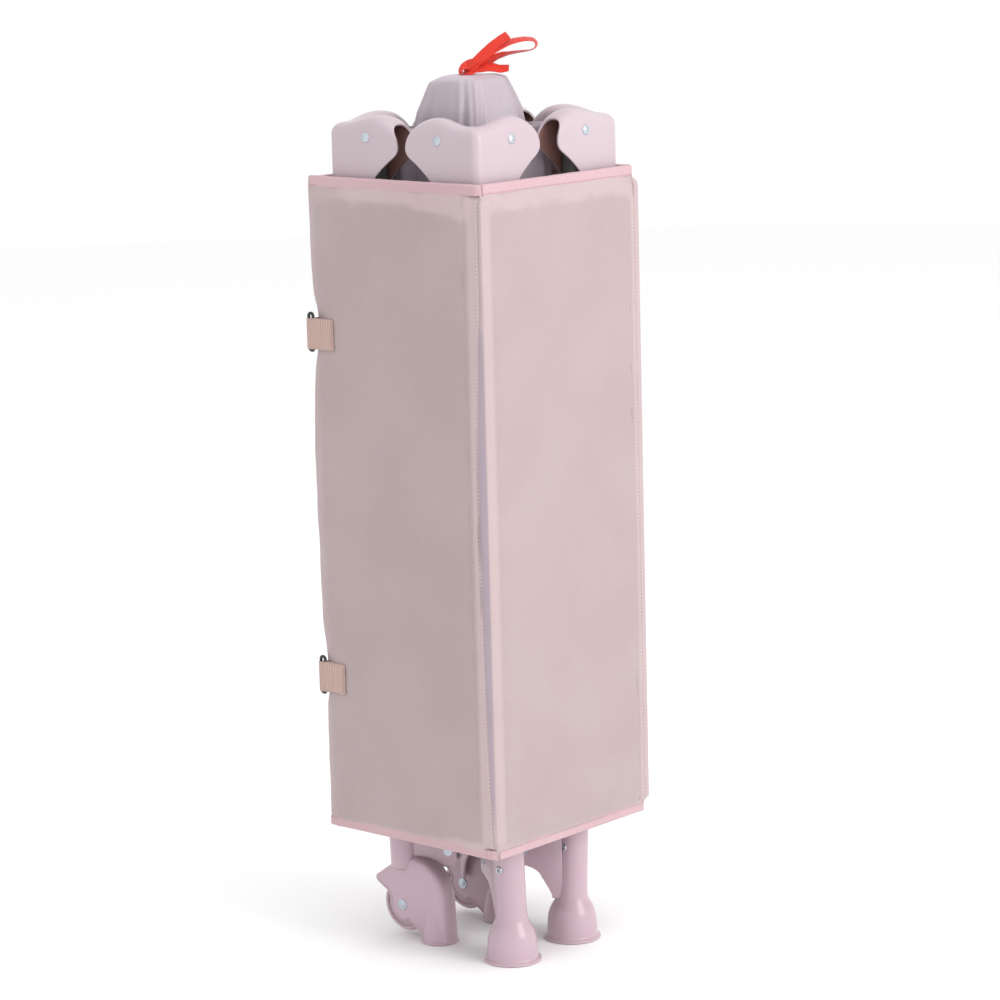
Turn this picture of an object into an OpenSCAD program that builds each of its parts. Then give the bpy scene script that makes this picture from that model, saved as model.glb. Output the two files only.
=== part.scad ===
// Folded travel cot, standing on its feet and wrapped in its folding mattress.
// Millimetres. +Z is up and the floor is z = 0. The origin is on the floor, at the middle of the wrap.
// The cot's long sides fold along Y and its short sides along X. The wheels are at the +Y end.

/* [Mattress wrap] */
// Width of the wrapped bundle along X
wrap_w = 218; // [216:1:222]
// Depth of the wrapped bundle along Y
wrap_d = 204; // [202:1:208]
// Height of the wrap, which is the mattress's own width
wrap_h = 600; // [580:5:610]
// Height of the wrap's lower edge above the floor
wrap_z = 112; // [108:1:116]
// Thickness of one padded mattress panel
panel_t = 11; // [10.5:0.5:11]
// Height of the binding tape along the panels' edges
tape_h = 9.5; // [8:0.5:11]
// Height of the webbing straps
strap_h = 28; // [24:1:30]
// Middle heights of the two straps
strap_z = [256, 572];

/* [Corner caps] */
// Cap corner from the middle, along X and along Y
cap_x = 96; // [95:0.5:96.5]
cap_y = 88.5; // [87:0.5:89]
// Length of a cap's wing from its corner
wing_l = 84; // [82:1:85]
// Width of a wing's channel
wing_w = 26; // [25.5:0.5:27]
// Wall thickness of the caps
wall = 2.5; // [2:0.25:2.5]
// Distance of the rail pivots from the cap's corner
pivot_s = 46; // [45:1:47]

/* [Frame tubes] */
// Diameter of the legs
leg_d = 25; // [24:0.5:25]
// Diameter of the top rails
rail_d = 20; // [18:0.5:20.5]
// Diameter of the floor rails
floor_d = 16; // [14:0.5:16]
// Wall thickness of the steel tubes
tube_t = 1.2; // [1:0.1:1.5]

/* [Feet and wheels] */
// Diameter of the feet where they meet the floor
foot_d = 53; // [48:1:54]
// Radius of the wheels
wheel_r = 25.5; // [24:0.5:26]
// Thickness of the wheels
wheel_t = 15; // [13:0.5:15]
// Radius of the wheel axles
axle_r = 3; // [2.5:0.25:3.5]

/* [Hidden] */
$fn = 48;

CAP_PINK = [0.86, 0.79, 0.82];
FOOT_PINK = [0.82, 0.73, 0.77];
COVER_PINK = [0.80, 0.73, 0.73];
TAPE_PINK = [0.82, 0.70, 0.72];
TUBE_GREY = [0.45, 0.46, 0.45];
LATCH_GREY = [0.62, 0.60, 0.61];
RIVET_SILVER = [0.72, 0.74, 0.78];
SATIN_GREY = [0.74, 0.70, 0.74];
MESH_BROWN = [0.33, 0.25, 0.24];
WEB_PINK = [0.80, 0.70, 0.68];

// The folded frame leans in towards this point, where the hub is
hub_c = [-4, 2];
leg_top = [77, 69, 750];
foot_out = [42, 64];
foot_z = 30;
floor_out = [22, 27];
floor_z = [84, 745];
fit_gap = 0.1;
pin_r = 2.5;
pin_gap = 0.05;

// Heights along the cap's outline
cap_corner_z = 760.5;
cap_top_z = 770.5;
cap_tip_z = 744;
cap_low_z = 698;
socket_z = [690, 761];
pivot_z = 747;

rail_x = cap_x - wing_w / 2;
rail_y = cap_y - pivot_s;
short_x = cap_x - pivot_s;
short_y = cap_y - wing_w / 2;
short_low_x = 28;
long_low_z = 178;
short_low_z = 468;

latch_h = 50;
latch_w = 27;
latch_wall = 2;
latch_end = 17;
button_l = 26;
button_w = 15;
button_z = -5;

axle_y = 64;
axle_z = 31;
fender_r = 42;
fender_in = 18;
fender_up = 12;
cheek_x = 10.5;
wheel_gap = 0.6;
column_y = 27;

in_x = wrap_w / 2 - panel_t;
in_y = wrap_d / 2 - panel_t;
skin = 0.6;
seam_gap = 0.5;
tab_l = 28;
tab_over = 1;
web_t = 1.4;
ring_h = 36;
ring_w = 7;
mesh_t = 1.2;

SIDES = [-1, 1];

function foot_at(sx, sy) = [hub_c.x + sx * foot_out.x, hub_c.y + sy * foot_out.y, foot_z];
function top_at(sx, sy) = [sx * leg_top.x, sy * leg_top.y, leg_top.z];
function leg_at(sx, sy, z) =
    let (t = (leg_top.z - z) / (leg_top.z - foot_z)) top_at(sx, sy) * (1 - t) + foot_at(sx, sy) * t;
function floor_at(sx, sy, z) = [hub_c.x + sx * floor_out.x, hub_c.y + sy * floor_out.y, z];

// Top edge of a cap's wing at a distance s from its corner
function wing_top(s) = s < pivot_s
    ? cap_corner_z + (cap_top_z - cap_corner_z) * sin(90 * s / pivot_s)
    : cap_tip_z + (cap_top_z - cap_tip_z) * sqrt(max(0, 1 - pow((s - pivot_s) / (wing_l - pivot_s), 2)));

// A rod or a bore between two points
module rod(p, q, r) {
    d = q - p;
    translate(p) rotate([0, acos(d.z / norm(d)), atan2(d.y, d.x)]) cylinder(h = norm(d), r = r);
}

module tube(p, q, d) {
    unit = (q - p) / norm(q - p);
    difference() {
        rod(p, q, d / 2);
        rod(p - unit, q + unit, d / 2 - tube_t);
    }
}

// A two-headed rivet through a wall of the given grip, along +X from the middle
module rivet(grip, head_r) {
    rotate([0, 90, 0]) {
        translate([0, 0, -grip / 2]) cylinder(h = grip, r = pin_r);
        for (s = SIDES) translate([0, 0, s * (grip / 2 + 0.5)]) cylinder(h = 1, r = head_r, center = true);
    }
}

module at_corner(sx, sy) {
    translate([sx * cap_x, sy * cap_y, 0]) scale([-sx, -sy, 1]) children();
}

// ---- corner caps ----

module wing_outline() {
    polygon(concat(
        [for (s = [0 : 6 : pivot_s - 1]) [s, wing_top(s)]],
        [for (a = [0 : 10 : 90]) let (s = pivot_s + (wing_l - pivot_s) * sin(a)) [s, wing_top(s)]],
        [[76, 739], [68, 735], [61, 728], [55, 717], [50, cap_low_z], [0, cap_low_z]]
    ));
}

module wing_hollow() {
    last = wing_l - 4;
    polygon(concat(
        [[wall, cap_low_z - 5], [wall, wing_top(wall) - wall]],
        [for (s = [6 : 6 : last]) [s, wing_top(s) - wall]],
        [[wing_l + 5, wing_top(last) - wall], [wing_l + 5, cap_low_z - 5]]
    ));
}

module along_u(width, start) {
    translate([0, start + width, 0]) rotate([90, 0, 0]) linear_extrude(width) children();
}

module along_v(width, start) {
    translate([start, 0, 0]) rotate([90, 0, 90]) linear_extrude(width) children();
}

module corner_cap(sx, sy) {
    color(CAP_PINK) difference() {
        union() {
            difference() {
                at_corner(sx, sy) {
                    along_u(wing_w, 0) wing_outline();
                    along_v(wing_w, 0) wing_outline();
                }
                at_corner(sx, sy) {
                    along_u(wing_w - 2 * wall, wall) wing_hollow();
                    along_v(wing_w - 2 * wall, wall) wing_hollow();
                }
            }
            rod(leg_at(sx, sy, socket_z[0]), leg_at(sx, sy, socket_z[1]), leg_d / 2 + wall);
        }
        rod(leg_at(sx, sy, socket_z[0] - 5), leg_at(sx, sy, leg_top.z + 2), leg_d / 2 + fit_gap);
        translate([sx * rail_x, sy * rail_y, pivot_z]) rotate([0, 90, 0])
            cylinder(h = wing_w + 2, r = pin_r + pin_gap, center = true);
        translate([sx * short_x, sy * short_y, pivot_z]) rotate([90, 0, 0])
            cylinder(h = wing_w + 2, r = pin_r + pin_gap, center = true);
    }
}

// ---- legs and rails ----

module leg(sx, sy) {
    low = sy < 0 ? 22 : 66;
    color(TUBE_GREY) tube(leg_at(sx, sy, low), leg_at(sx, sy, leg_top.z), leg_d);
}

module long_rail(sx, sy) {
    color(TUBE_GREY) difference() {
        tube([sx * rail_x, sy * rail_y, long_low_z - 10], [sx * rail_x, sy * rail_y, pivot_z + 10], rail_d);
        for (z = [long_low_z, pivot_z]) translate([sx * rail_x, sy * rail_y, z]) rotate([0, 90, 0])
            cylinder(h = rail_d + 2, r = pin_r + pin_gap, center = true);
    }
}

module short_rail(sx, sy) {
    top = [sx * short_x, sy * short_y, pivot_z];
    low = [sx * short_low_x, sy * short_y, short_low_z];
    unit = (top - low) / norm(top - low);
    color(TUBE_GREY) difference() {
        tube(low - 10 * unit, top + 10 * unit, rail_d);
        for (p = [top, low]) translate(p) rotate([90, 0, 0])
            cylinder(h = rail_d + 2, r = pin_r + pin_gap, center = true);
    }
}

module floor_rail(sx, sy) {
    turn = atan2(sy * floor_out.y, sx * floor_out.x);
    color(TUBE_GREY) difference() {
        tube(floor_at(sx, sy, floor_z[0] - 8), floor_at(sx, sy, floor_z[1] + 8), floor_d);
        for (i = [0, 1]) translate(floor_at(sx, sy, floor_z[i]))
            rotate([90, 0, i == 0 ? foot_turn(sx, sy) : turn])
            cylinder(h = floor_d + 2, r = pin_r + pin_gap, center = true);
    }
}

// ---- rail latches ----

// A trough that both half rails fold up out of, with the release button through its floor.
// It runs along X, with its floor's underside at z = 0.
module latch_housing(pivot_half) {
    half = pivot_half + latch_end;
    inner = latch_w - 2 * latch_wall;
    difference() {
        translate([0, latch_w / 2, 0]) rotate([90, 0, 0]) linear_extrude(latch_w) latch_outline(half);
        translate([-half + latch_wall, -inner / 2, latch_wall]) cube([2 * (half - latch_wall), inner, latch_h]);
        translate([0, 0, -1]) linear_extrude(latch_wall + 2) button_outline(0.4);
        for (s = SIDES) translate([s * pivot_half, 0, 28]) rotate([90, 0, 0])
            cylinder(h = latch_w + 2, r = pin_r + pin_gap, center = true);
    }
}

module latch_outline(half) {
    for (s = SIDES) translate([s * (half - 12), 12]) circle(12);
    translate([-half + 12, 0]) square([2 * half - 24, latch_h - 12]);
    translate([-half, 12]) square([2 * half, latch_h - 24]);
    for (s = SIDES) translate([s * (half - 12), latch_h - 12]) circle(12);
    translate([-half + 12, latch_h - 24]) square([2 * half - 24, 16]);
}

module button_outline(gap) {
    r = button_w / 2 + gap;
    for (s = SIDES) translate([s * (button_l / 2 - button_w / 2), 0]) circle(r);
    translate([-button_l / 2 + button_w / 2, -r]) square([button_l - button_w, 2 * r]);
}

module release_button() {
    translate([0, 0, button_z]) linear_extrude(-button_z + latch_wall + 0.4) button_outline(0);
    translate([0, 0, latch_wall + 0.4]) linear_extrude(2) button_outline(2);
}

module at_latch(side) {
    low = side == "left" || side == "right" ? long_low_z : short_low_z;
    place = side == "left" ? [-rail_x, 0, 90]
        : side == "right" ? [rail_x, 0, 90]
        : side == "front" ? [0, -short_y, 0]
        : [0, short_y, 0];
    translate([place.x, place.y, low - 28]) rotate(place.z) children();
}

module latch(side) {
    color(LATCH_GREY) at_latch(side)
        latch_housing(side == "left" || side == "right" ? rail_y : short_low_x);
}

module button(side) {
    color(CAP_PINK) at_latch(side) release_button();
}

// ---- feet ----

function foot_turn(sx, sy) =
    let (d = floor_at(sx, sy, 0) - foot_at(sx, sy)) atan2(d.y, d.x);

// Two plates that hold the floor rail's lower pivot, and the web behind it
module foot_clevis(sx, sy) {
    d = floor_at(sx, sy, 0) - foot_at(sx, sy);
    reach = norm([d.x, d.y]);
    translate([foot_at(sx, sy).x, foot_at(sx, sy).y, 0]) rotate(foot_turn(sx, sy)) difference() {
        for (s = SIDES) translate([0, s * (floor_d / 2 + 1.7) + 1.25, 0]) rotate([90, 0, 0])
            linear_extrude(2.5) difference() {
                translate([8, 36]) square([reach + 1, 60]);
                translate([reach + 12, 36]) circle(34);
            }
        translate([reach, 0, floor_z[0]]) rotate([90, 0, 0])
            cylinder(h = floor_d + 20, r = pin_r + pin_gap, center = true);
    }
}

module leg_bore(sx, sy, low) {
    rod(leg_at(sx, sy, low), leg_at(sx, sy, 140), leg_d / 2 + fit_gap);
}

module leg_sleeve(sx, sy, low) {
    rod(leg_at(sx, sy, low), leg_at(sx, sy, 126), leg_d / 2 + 1.8);
}

module plain_foot(sx) {
    p = foot_at(sx, -1);
    color(FOOT_PINK) difference() {
        union() {
            translate([p.x, p.y, 0]) rotate_extrude() foot_outline();
            leg_sleeve(sx, -1, 30);
            foot_clevis(sx, -1);
        }
        leg_bore(sx, -1, 22);
        translate([leg_at(sx, -1, 88).x - leg_d / 2, leg_at(sx, -1, 88).y, 88]) rotate([0, 90, 0])
            cylinder(h = 8, r = 2.6, center = true);
    }
}

module foot_outline() {
    polygon(concat(
        [[0, 0], [foot_d / 2, 0], [foot_d / 2, 2], [foot_d / 2 - 2.6, 3]],
        [for (a = [0 : 15 : 90]) [leg_d / 2 + 1.8 + 8.8 * cos(a), 26 + 14 * sin(a)]],
        [[0, 40]]
    ));
}

module fender_outline() {
    circle_y = axle_y - fender_in;
    difference() {
        union() {
            translate([circle_y, axle_z + fender_up]) circle(fender_r);
            polygon([[circle_y + 20, 79], [axle_y + 33, axle_z + 19], [axle_y + 22, axle_z + 10], [axle_y, axle_z]]);
        }
        translate([-20, -30]) square([140, 31]);
    }
}

module wheel_foot(sx) {
    x = foot_at(sx, 1).x;
    color(FOOT_PINK) difference() {
        union() {
            translate([x - cheek_x, 0, 0]) rotate([90, 0, 90]) linear_extrude(2 * cheek_x) fender_outline();
            translate([x, column_y, 0]) rotate_extrude() column_outline();
            leg_sleeve(sx, 1, 62);
            foot_clevis(sx, 1);
        }
        leg_bore(sx, 1, 64);
        translate([x, axle_y, axle_z]) rotate([0, 90, 0]) {
            cylinder(h = wheel_t + 2 * wheel_gap, r = wheel_r + 2.5, center = true);
            cylinder(h = 2 * cheek_x + 2, r = axle_r + pin_gap, center = true);
        }
    }
}

module column_outline() {
    polygon(concat(
        [[0, 0], [20, 0], [20, 2], [18, 3]],
        [for (a = [0 : 15 : 90]) [10.5 + 6 * cos(a), 20 + 18 * sin(a)]],
        [[0, 38]]
    ));
}

module wheel(sx) {
    color(FOOT_PINK) translate([foot_at(sx, 1).x, axle_y, axle_z]) rotate([0, 90, 0]) rotate_extrude()
        polygon(concat(
            [[axle_r + pin_gap, -wheel_t / 2], [wheel_r - 2, -wheel_t / 2]],
            [for (i = [0 : 3]) for (g = [[0, 0.6], [0, 2.4], [-1.2, 3], [-1.2, 3.9]])
                [wheel_r + g[0], -wheel_t / 2 + 0.4 + i * 3.6 + g[1] - 0.3]],
            [[wheel_r - 2, wheel_t / 2], [axle_r + pin_gap, wheel_t / 2]]
        ));
}

module wheel_axles() {
    color(RIVET_SILVER) for (sx = SIDES) translate([foot_at(sx, 1).x, axle_y, axle_z]) rotate([0, 90, 0]) {
        cylinder(h = 2 * cheek_x, r = axle_r, center = true);
        for (s = SIDES) translate([0, 0, s * (cheek_x + 0.6)]) cylinder(h = 1.2, r = 5.5, center = true);
    }
}

// ---- hub ----

module hub() {
    reach = norm(floor_out);
    color(LATCH_GREY) difference() {
        translate([hub_c.x, hub_c.y, 0]) union() {
            translate([0, 0, 728]) cylinder(h = 46, r = 20);
            translate([0, 0, 774]) cylinder(h = 10, r = 24);
            for (sx = SIDES) for (sy = SIDES) for (s = SIDES)
                rotate(atan2(sy * floor_out.y, sx * floor_out.x))
                translate([12, s * (floor_d / 2 + 1.5) - 1, 732]) cube([reach - 6, 2, 22]);
        }
        for (sx = SIDES) for (sy = SIDES) {
            translate(floor_at(sx, sy, floor_z[1])) rotate([90, 0, atan2(sy * floor_out.y, sx * floor_out.x)])
                cylinder(h = floor_d + 14, r = pin_r + pin_gap, center = true);
            translate(floor_at(sx, sy, 720)) cylinder(h = 34, r = floor_d / 2 + 0.4);
        }
    }
}

// ---- rivets ----

module rail_rivets() {
    color(RIVET_SILVER) for (sx = SIDES) for (sy = SIDES) {
        translate([sx * rail_x, sy * rail_y, pivot_z]) rivet(wing_w, 4.4);
        translate([sx * short_x, sy * short_y, pivot_z]) rotate(90) rivet(wing_w, 4.4);
    }
}

module latch_rivets() {
    color(RIVET_SILVER) for (s = SIDES) for (e = SIDES) {
        translate([s * rail_x, e * rail_y, long_low_z]) rivet(latch_w, 4);
        translate([e * short_low_x, s * short_y, short_low_z]) rotate(90) rivet(latch_w, 4);
    }
}

module floor_rivets() {
    color(RIVET_SILVER) for (sx = SIDES) for (sy = SIDES) {
        translate(floor_at(sx, sy, floor_z[0])) rotate(foot_turn(sx, sy) + 90) rivet(floor_d + 5.9, 4);
        translate(floor_at(sx, sy, floor_z[1])) rotate(atan2(sy * floor_out.y, sx * floor_out.x) + 90)
            rivet(floor_d + 5, 4);
    }
}

module foot_eyelets() {
    color(RIVET_SILVER) for (sx = SIDES) {
        p = leg_at(sx, -1, 88);
        translate([p.x - leg_d / 2 - 2.6, p.y, p.z]) rotate([0, 90, 0]) rotate_extrude()
            translate([2, 0]) circle(0.65);
    }
}

// ---- soft parts of the cot ----

// The cot's floor, drawn up over the hub and round the four floor rails
module floor_fabric() {
    color(SATIN_GREY) translate([hub_c.x, hub_c.y, 0]) difference() {
        tent(0, 120, 797);
        tent(1.5, 110, 795.5);
    }
}

module tent(inset, low, high) {
    half = [38 - inset, 42 - inset];
    crown = 25 - inset;
    translate([-half.x, -half.y, low]) cube([2 * half.x, 2 * half.y, 752 - low]);
    hull() {
        translate([-half.x, -half.y, 751]) cube([2 * half.x, 2 * half.y, 1]);
        translate([-crown, -crown, high - 1]) cube([2 * crown, 2 * crown, 1]);
    }
}

// A sheet in accordion pleats: count runs, depth deep, pitch apart
module pleats(count, depth, pitch, high) {
    slant = mesh_t / sin(atan(pitch / depth));
    run = depth - slant;
    linear_extrude(high) translate([-depth / 2, -count * pitch / 2]) polygon(concat(
        [for (i = [0 : count]) [i % 2 == 0 ? 0 : run, i * pitch]],
        [for (i = [count : -1 : 0]) [slant + (i % 2 == 0 ? 0 : run), i * pitch]]
    ));
}

module side_mesh() {
    color(MESH_BROWN) {
        for (s = SIDES) translate([s * 69 + (s > 0 ? 1 : -1), -1, 215]) pleats(8, 46, 6.4, 480);
        for (y = [-66, 69]) {
            translate([-4, y, 500]) rotate(90) pleats(4, 34, 6.4, 195);
            translate([-4, y, 130]) rotate(90) pleats(6, 34, 6.4, 290);
        }
    }
}

function bend(a, b, c, t) = a * (1 - t) * (1 - t) + b * 2 * t * (1 - t) + c * t * t;

// A flat ribbon on edge along a curve with one control point
module ribbon_run(a, b, c, width) {
    steps = 8;
    linear_extrude(width, center = true) polygon(concat(
        [for (i = [0 : steps]) bend(a, b, c, i / steps)],
        [for (i = [steps : -1 : 0]) bend(a, b, c, i / steps) + [0, 1]]
    ));
}

module pull_ribbon() {
    color([0.93, 0.28, 0.18]) translate([hub_c.x, hub_c.y, 797.2]) rotate([90, 0, -48]) {
        translate([-8, 0, -5]) cube([9, 5, 10]);
        translate([0, 0, 0.5]) ribbon_run([0.5, 3], [12, 12], [33, 31], 8);
        translate([0, 0, 0.5]) ribbon_run([0.5, 1.4], [34, 4], [58, 22], 8);
    }
}

// ---- mattress panels ----
// Each panel is given by its low corner and its size, seen from above.

function panel_box(side) =
    side == "front" ? [-wrap_w / 2, -wrap_d / 2, wrap_w, panel_t]
    : side == "left" ? [-wrap_w / 2, -in_y + seam_gap, panel_t, 2 * in_y - 2 * seam_gap]
    : side == "right" ? [in_x, -in_y + seam_gap, panel_t, 2 * in_y + panel_t - seam_gap]
    : [-wrap_w / 2 + 0.8, in_y, wrap_w / 2 + in_x - 0.8 - seam_gap, panel_t];

// A box inside a panel: edge is how far it stays from the panel's ends, face from its faces
module in_panel(side, edge, face, low, high) {
    b = panel_box(side);
    along_x = b[2] > b[3];
    dx = along_x ? edge : face;
    dy = along_x ? face : edge;
    translate([b[0] + dx, b[1] + dy, low]) cube([b[2] - 2 * dx, b[3] - 2 * dy, high - low]);
}

// The fabric cover with its wadding, sewn shut round the board
module cover(side) {
    color(COVER_PINK) difference() {
        in_panel(side, skin, skin, wrap_z + skin, wrap_z + wrap_h - skin);
        in_panel(side, 8, 3.4, wrap_z + 16, wrap_z + wrap_h - 16);
    }
}

module board(side) {
    color([0.62, 0.47, 0.34]) in_panel(side, 9, 3.9, wrap_z + 17, wrap_z + wrap_h - 17);
}

module binding(side) {
    color(TAPE_PINK) {
        difference() {
            in_panel(side, skin, 0, wrap_z, wrap_z + tape_h);
            in_panel(side, 0, skin, wrap_z + skin, wrap_z + tape_h + 1);
        }
        difference() {
            in_panel(side, skin, 0, wrap_z + wrap_h - tape_h, wrap_z + wrap_h);
            in_panel(side, 0, skin, wrap_z + wrap_h - tape_h - 1, wrap_z + wrap_h - skin);
        }
    }
}

// ---- straps ----

module strap_tabs() {
    color(WEB_PINK) for (z = strap_z)
        translate([-wrap_w / 2 + skin - web_t, wrap_d / 2 + tab_over - tab_l, z - strap_h / 2])
            cube([web_t, tab_l, strap_h]);
}

module strap_rings() {
    color([0.12, 0.11, 0.11]) for (z = strap_z)
        translate([-wrap_w / 2 - 2.6, wrap_d / 2 + tab_over, z - ring_h / 2]) difference() {
            cube([2.4, ring_w, ring_h]);
            translate([-1, 2, 2.6]) cube([5, ring_w - 4, ring_h - 5.2]);
        }
}

module strap_ends() {
    color(WEB_PINK) for (z = strap_z)
        translate([-wrap_w / 2 + 2, wrap_d / 2 - skin, z - strap_h / 2]) cube([60, web_t, strap_h]);
}

corner_cap(-1, -1);  // cap_front_left
corner_cap(1, -1);  // cap_front_right
corner_cap(-1, 1);  // cap_rear_left
corner_cap(1, 1);  // cap_rear_right
leg(-1, -1);  // leg_front_left
leg(1, -1);  // leg_front_right
leg(-1, 1);  // leg_rear_left
leg(1, 1);  // leg_rear_right
plain_foot(-1);  // foot_left
plain_foot(1);  // foot_right
wheel_foot(-1);  // wheel_foot_left
wheel_foot(1);  // wheel_foot_right
wheel(-1);  // wheel_left
wheel(1);  // wheel_right
wheel_axles();
long_rail(-1, -1);  // long_rail_front_left
long_rail(1, -1);  // long_rail_front_right
long_rail(-1, 1);  // long_rail_rear_left
long_rail(1, 1);  // long_rail_rear_right
short_rail(-1, -1);  // short_rail_front_left
short_rail(1, -1);  // short_rail_front_right
short_rail(-1, 1);  // short_rail_rear_left
short_rail(1, 1);  // short_rail_rear_right
latch("left");  // latch_left
latch("right");  // latch_right
latch("front");  // latch_front
latch("rear");  // latch_rear
button("left");  // button_left
button("right");  // button_right
button("front");  // button_front
button("rear");  // button_rear
floor_rail(-1, -1);  // floor_rail_front_left
floor_rail(1, -1);  // floor_rail_front_right
floor_rail(-1, 1);  // floor_rail_rear_left
floor_rail(1, 1);  // floor_rail_rear_right
hub();
rail_rivets();
latch_rivets();
floor_rivets();
foot_eyelets();
floor_fabric();
side_mesh();
pull_ribbon();
cover("front");  // cover_front
cover("left");  // cover_left
cover("right");  // cover_right
cover("rear");  // cover_rear
board("front");  // board_front
board("left");  // board_left
board("right");  // board_right
board("rear");  // board_rear
binding("front");  // binding_front
binding("left");  // binding_left
binding("right");  // binding_right
binding("rear");  // binding_rear
strap_tabs();
strap_rings();
strap_ends();
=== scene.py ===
"""Folded travel cot on its feet and wheels, wrapped in its own folding mattress."""
import math

import bmesh
import bpy
from mathutils import Matrix, Vector, noise


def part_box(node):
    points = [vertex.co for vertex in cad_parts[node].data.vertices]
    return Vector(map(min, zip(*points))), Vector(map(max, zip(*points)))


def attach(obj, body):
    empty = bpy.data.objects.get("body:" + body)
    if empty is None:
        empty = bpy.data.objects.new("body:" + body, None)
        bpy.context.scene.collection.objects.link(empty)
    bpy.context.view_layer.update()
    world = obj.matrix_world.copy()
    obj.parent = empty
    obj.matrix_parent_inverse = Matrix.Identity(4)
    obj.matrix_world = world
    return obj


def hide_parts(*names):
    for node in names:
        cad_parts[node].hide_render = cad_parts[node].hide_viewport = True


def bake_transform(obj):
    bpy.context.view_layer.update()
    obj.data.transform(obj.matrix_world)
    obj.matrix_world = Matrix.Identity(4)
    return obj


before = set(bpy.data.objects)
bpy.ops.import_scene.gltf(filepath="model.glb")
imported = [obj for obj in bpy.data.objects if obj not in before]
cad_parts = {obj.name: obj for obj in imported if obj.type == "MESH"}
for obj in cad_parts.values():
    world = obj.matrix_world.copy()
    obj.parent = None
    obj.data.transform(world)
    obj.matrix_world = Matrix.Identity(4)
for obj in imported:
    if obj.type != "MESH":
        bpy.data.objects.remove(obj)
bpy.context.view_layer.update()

MM = 0.001
SIDES = (-1, 1)

# ---- driving dimensions, read from the frame ----

FRONT_LOW, FRONT_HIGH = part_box("cover_front")
LEFT_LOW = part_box("cover_left")[0]
REAR_LOW, REAR_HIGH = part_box("cover_rear")
BIND_LOW, BIND_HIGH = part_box("binding_front")
WRAP_LOW = BIND_LOW.z
WRAP_HIGH = BIND_HIGH.z
TAPE_H = 9.5 * MM


def mm(*values):
    """A point given in millimetres."""
    return Vector(values) * MM


def ease(t):
    """0 to 1 with a soft start and end, clamped."""
    t = min(1.0, max(0.0, t))
    return t * t * (3 - 2 * t)


def ramp(stops, t):
    """The value at t on a straight-sided line through (t, value) stops."""
    if t <= stops[0][0]:
        return stops[0][1]
    for (t0, a), (t1, b) in zip(stops, stops[1:]):
        if t <= t1:
            return a + (b - a) * (t - t0) / (t1 - t0)
    return stops[-1][1]


def wave(x, y, z=0.0, seed=0.0):
    """Smooth noise between about -1 and 1."""
    return noise.noise(Vector((x, y, z + 17.3 * seed)))


# ---- camera, floor and light ----

VIEW_TURN = math.radians(-48.19)
VIEW_RISE = math.radians(10.62)
VIEW_ROLL = math.radians(-1.54)
VIEW_DISTANCE = 3.207
VIEW_HEIGHT = 0.4108
LENS = 126.86
SHIFT = (0.01635, 0.00088)


def view_axes():
    back = Vector((
        math.sin(VIEW_TURN) * math.cos(VIEW_RISE),
        -math.cos(VIEW_TURN) * math.cos(VIEW_RISE),
        math.sin(VIEW_RISE),
    ))
    right = Vector((math.cos(VIEW_TURN), math.sin(VIEW_TURN), 0))
    up = back.cross(right)
    c, s = math.cos(VIEW_ROLL), math.sin(VIEW_ROLL)
    return right * c + up * s, up * c - right * s, back


RIGHT, UP, BACK = view_axes()


def make_camera():
    data = bpy.data.cameras.new("camera")
    data.lens = LENS
    data.sensor_width = 36
    data.shift_x, data.shift_y = SHIFT
    camera = bpy.data.objects.new("camera", data)
    turn = Matrix((RIGHT, UP, BACK)).transposed().to_4x4()
    camera.matrix_world = Matrix.Translation(Vector((0, 0, VIEW_HEIGHT)) + BACK * VIEW_DISTANCE) @ turn
    bpy.context.collection.objects.link(camera)
    bpy.context.scene.camera = camera


def make_area_light(name, place, aim, size, watts, colour=(1, 1, 1)):
    data = bpy.data.lights.new(name, "AREA")
    data.shape = "RECTANGLE"
    data.size, data.size_y = size
    data.energy = watts
    data.color = colour
    lamp = bpy.data.objects.new(name, data)
    lamp.location = place
    lamp.rotation_euler = (Vector(aim) - Vector(place)).to_track_quat("-Z", "Y").to_euler()
    bpy.context.collection.objects.link(lamp)


def make_studio():
    flat_right = Vector((math.cos(VIEW_TURN), math.sin(VIEW_TURN), 0))
    toward = Vector((math.sin(VIEW_TURN), -math.cos(VIEW_TURN), 0))
    centre = Vector((0, 0, 0.42))
    key = flat_right * 2.1 + toward * 1.5 + Vector((0, 0, 1.5))
    fill = flat_right * -2.4 + toward * 1.6 + Vector((0, 0, 1.1))
    top = toward * 0.4 + Vector((0, 0, 2.6))
    make_area_light("key_light", key, centre, (1.5, 1.9), 41, (1.0, 0.985, 0.97))
    make_area_light("fill_light", fill, centre, (1.6, 2.0), 3, (0.96, 0.97, 1.0))
    make_area_light("top_light", top, centre, (1.6, 1.6), 9)
    world = bpy.data.worlds.new("studio")
    world.use_nodes = True
    background = world.node_tree.nodes["Background"]
    background.inputs["Color"].default_value = (1, 1, 1, 1)
    background.inputs["Strength"].default_value = 1.0
    bpy.context.scene.world = world
    bpy.context.scene.view_settings.view_transform = "Standard"


def make_floor():
    bm = bmesh.new()
    bmesh.ops.create_circle(bm, cap_ends=True, segments=64, radius=6)
    floor = new_object("floor", bm)
    floor.data.materials.append(plain_material("floor_paper", (0.97, 0.97, 0.97), 0.9))


# ---- mesh helpers ----

def new_object(name, bm):
    mesh = bpy.data.meshes.new(name)
    bm.to_mesh(mesh)
    bm.free()
    obj = bpy.data.objects.new(name, mesh)
    bpy.context.collection.objects.link(obj)
    for face in mesh.polygons:
        face.use_smooth = True
    return obj


def tidy(bm, reach=0.02 * MM):
    bmesh.ops.remove_doubles(bm, verts=bm.verts, dist=reach)
    bmesh.ops.recalc_face_normals(bm, faces=bm.faces)


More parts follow.
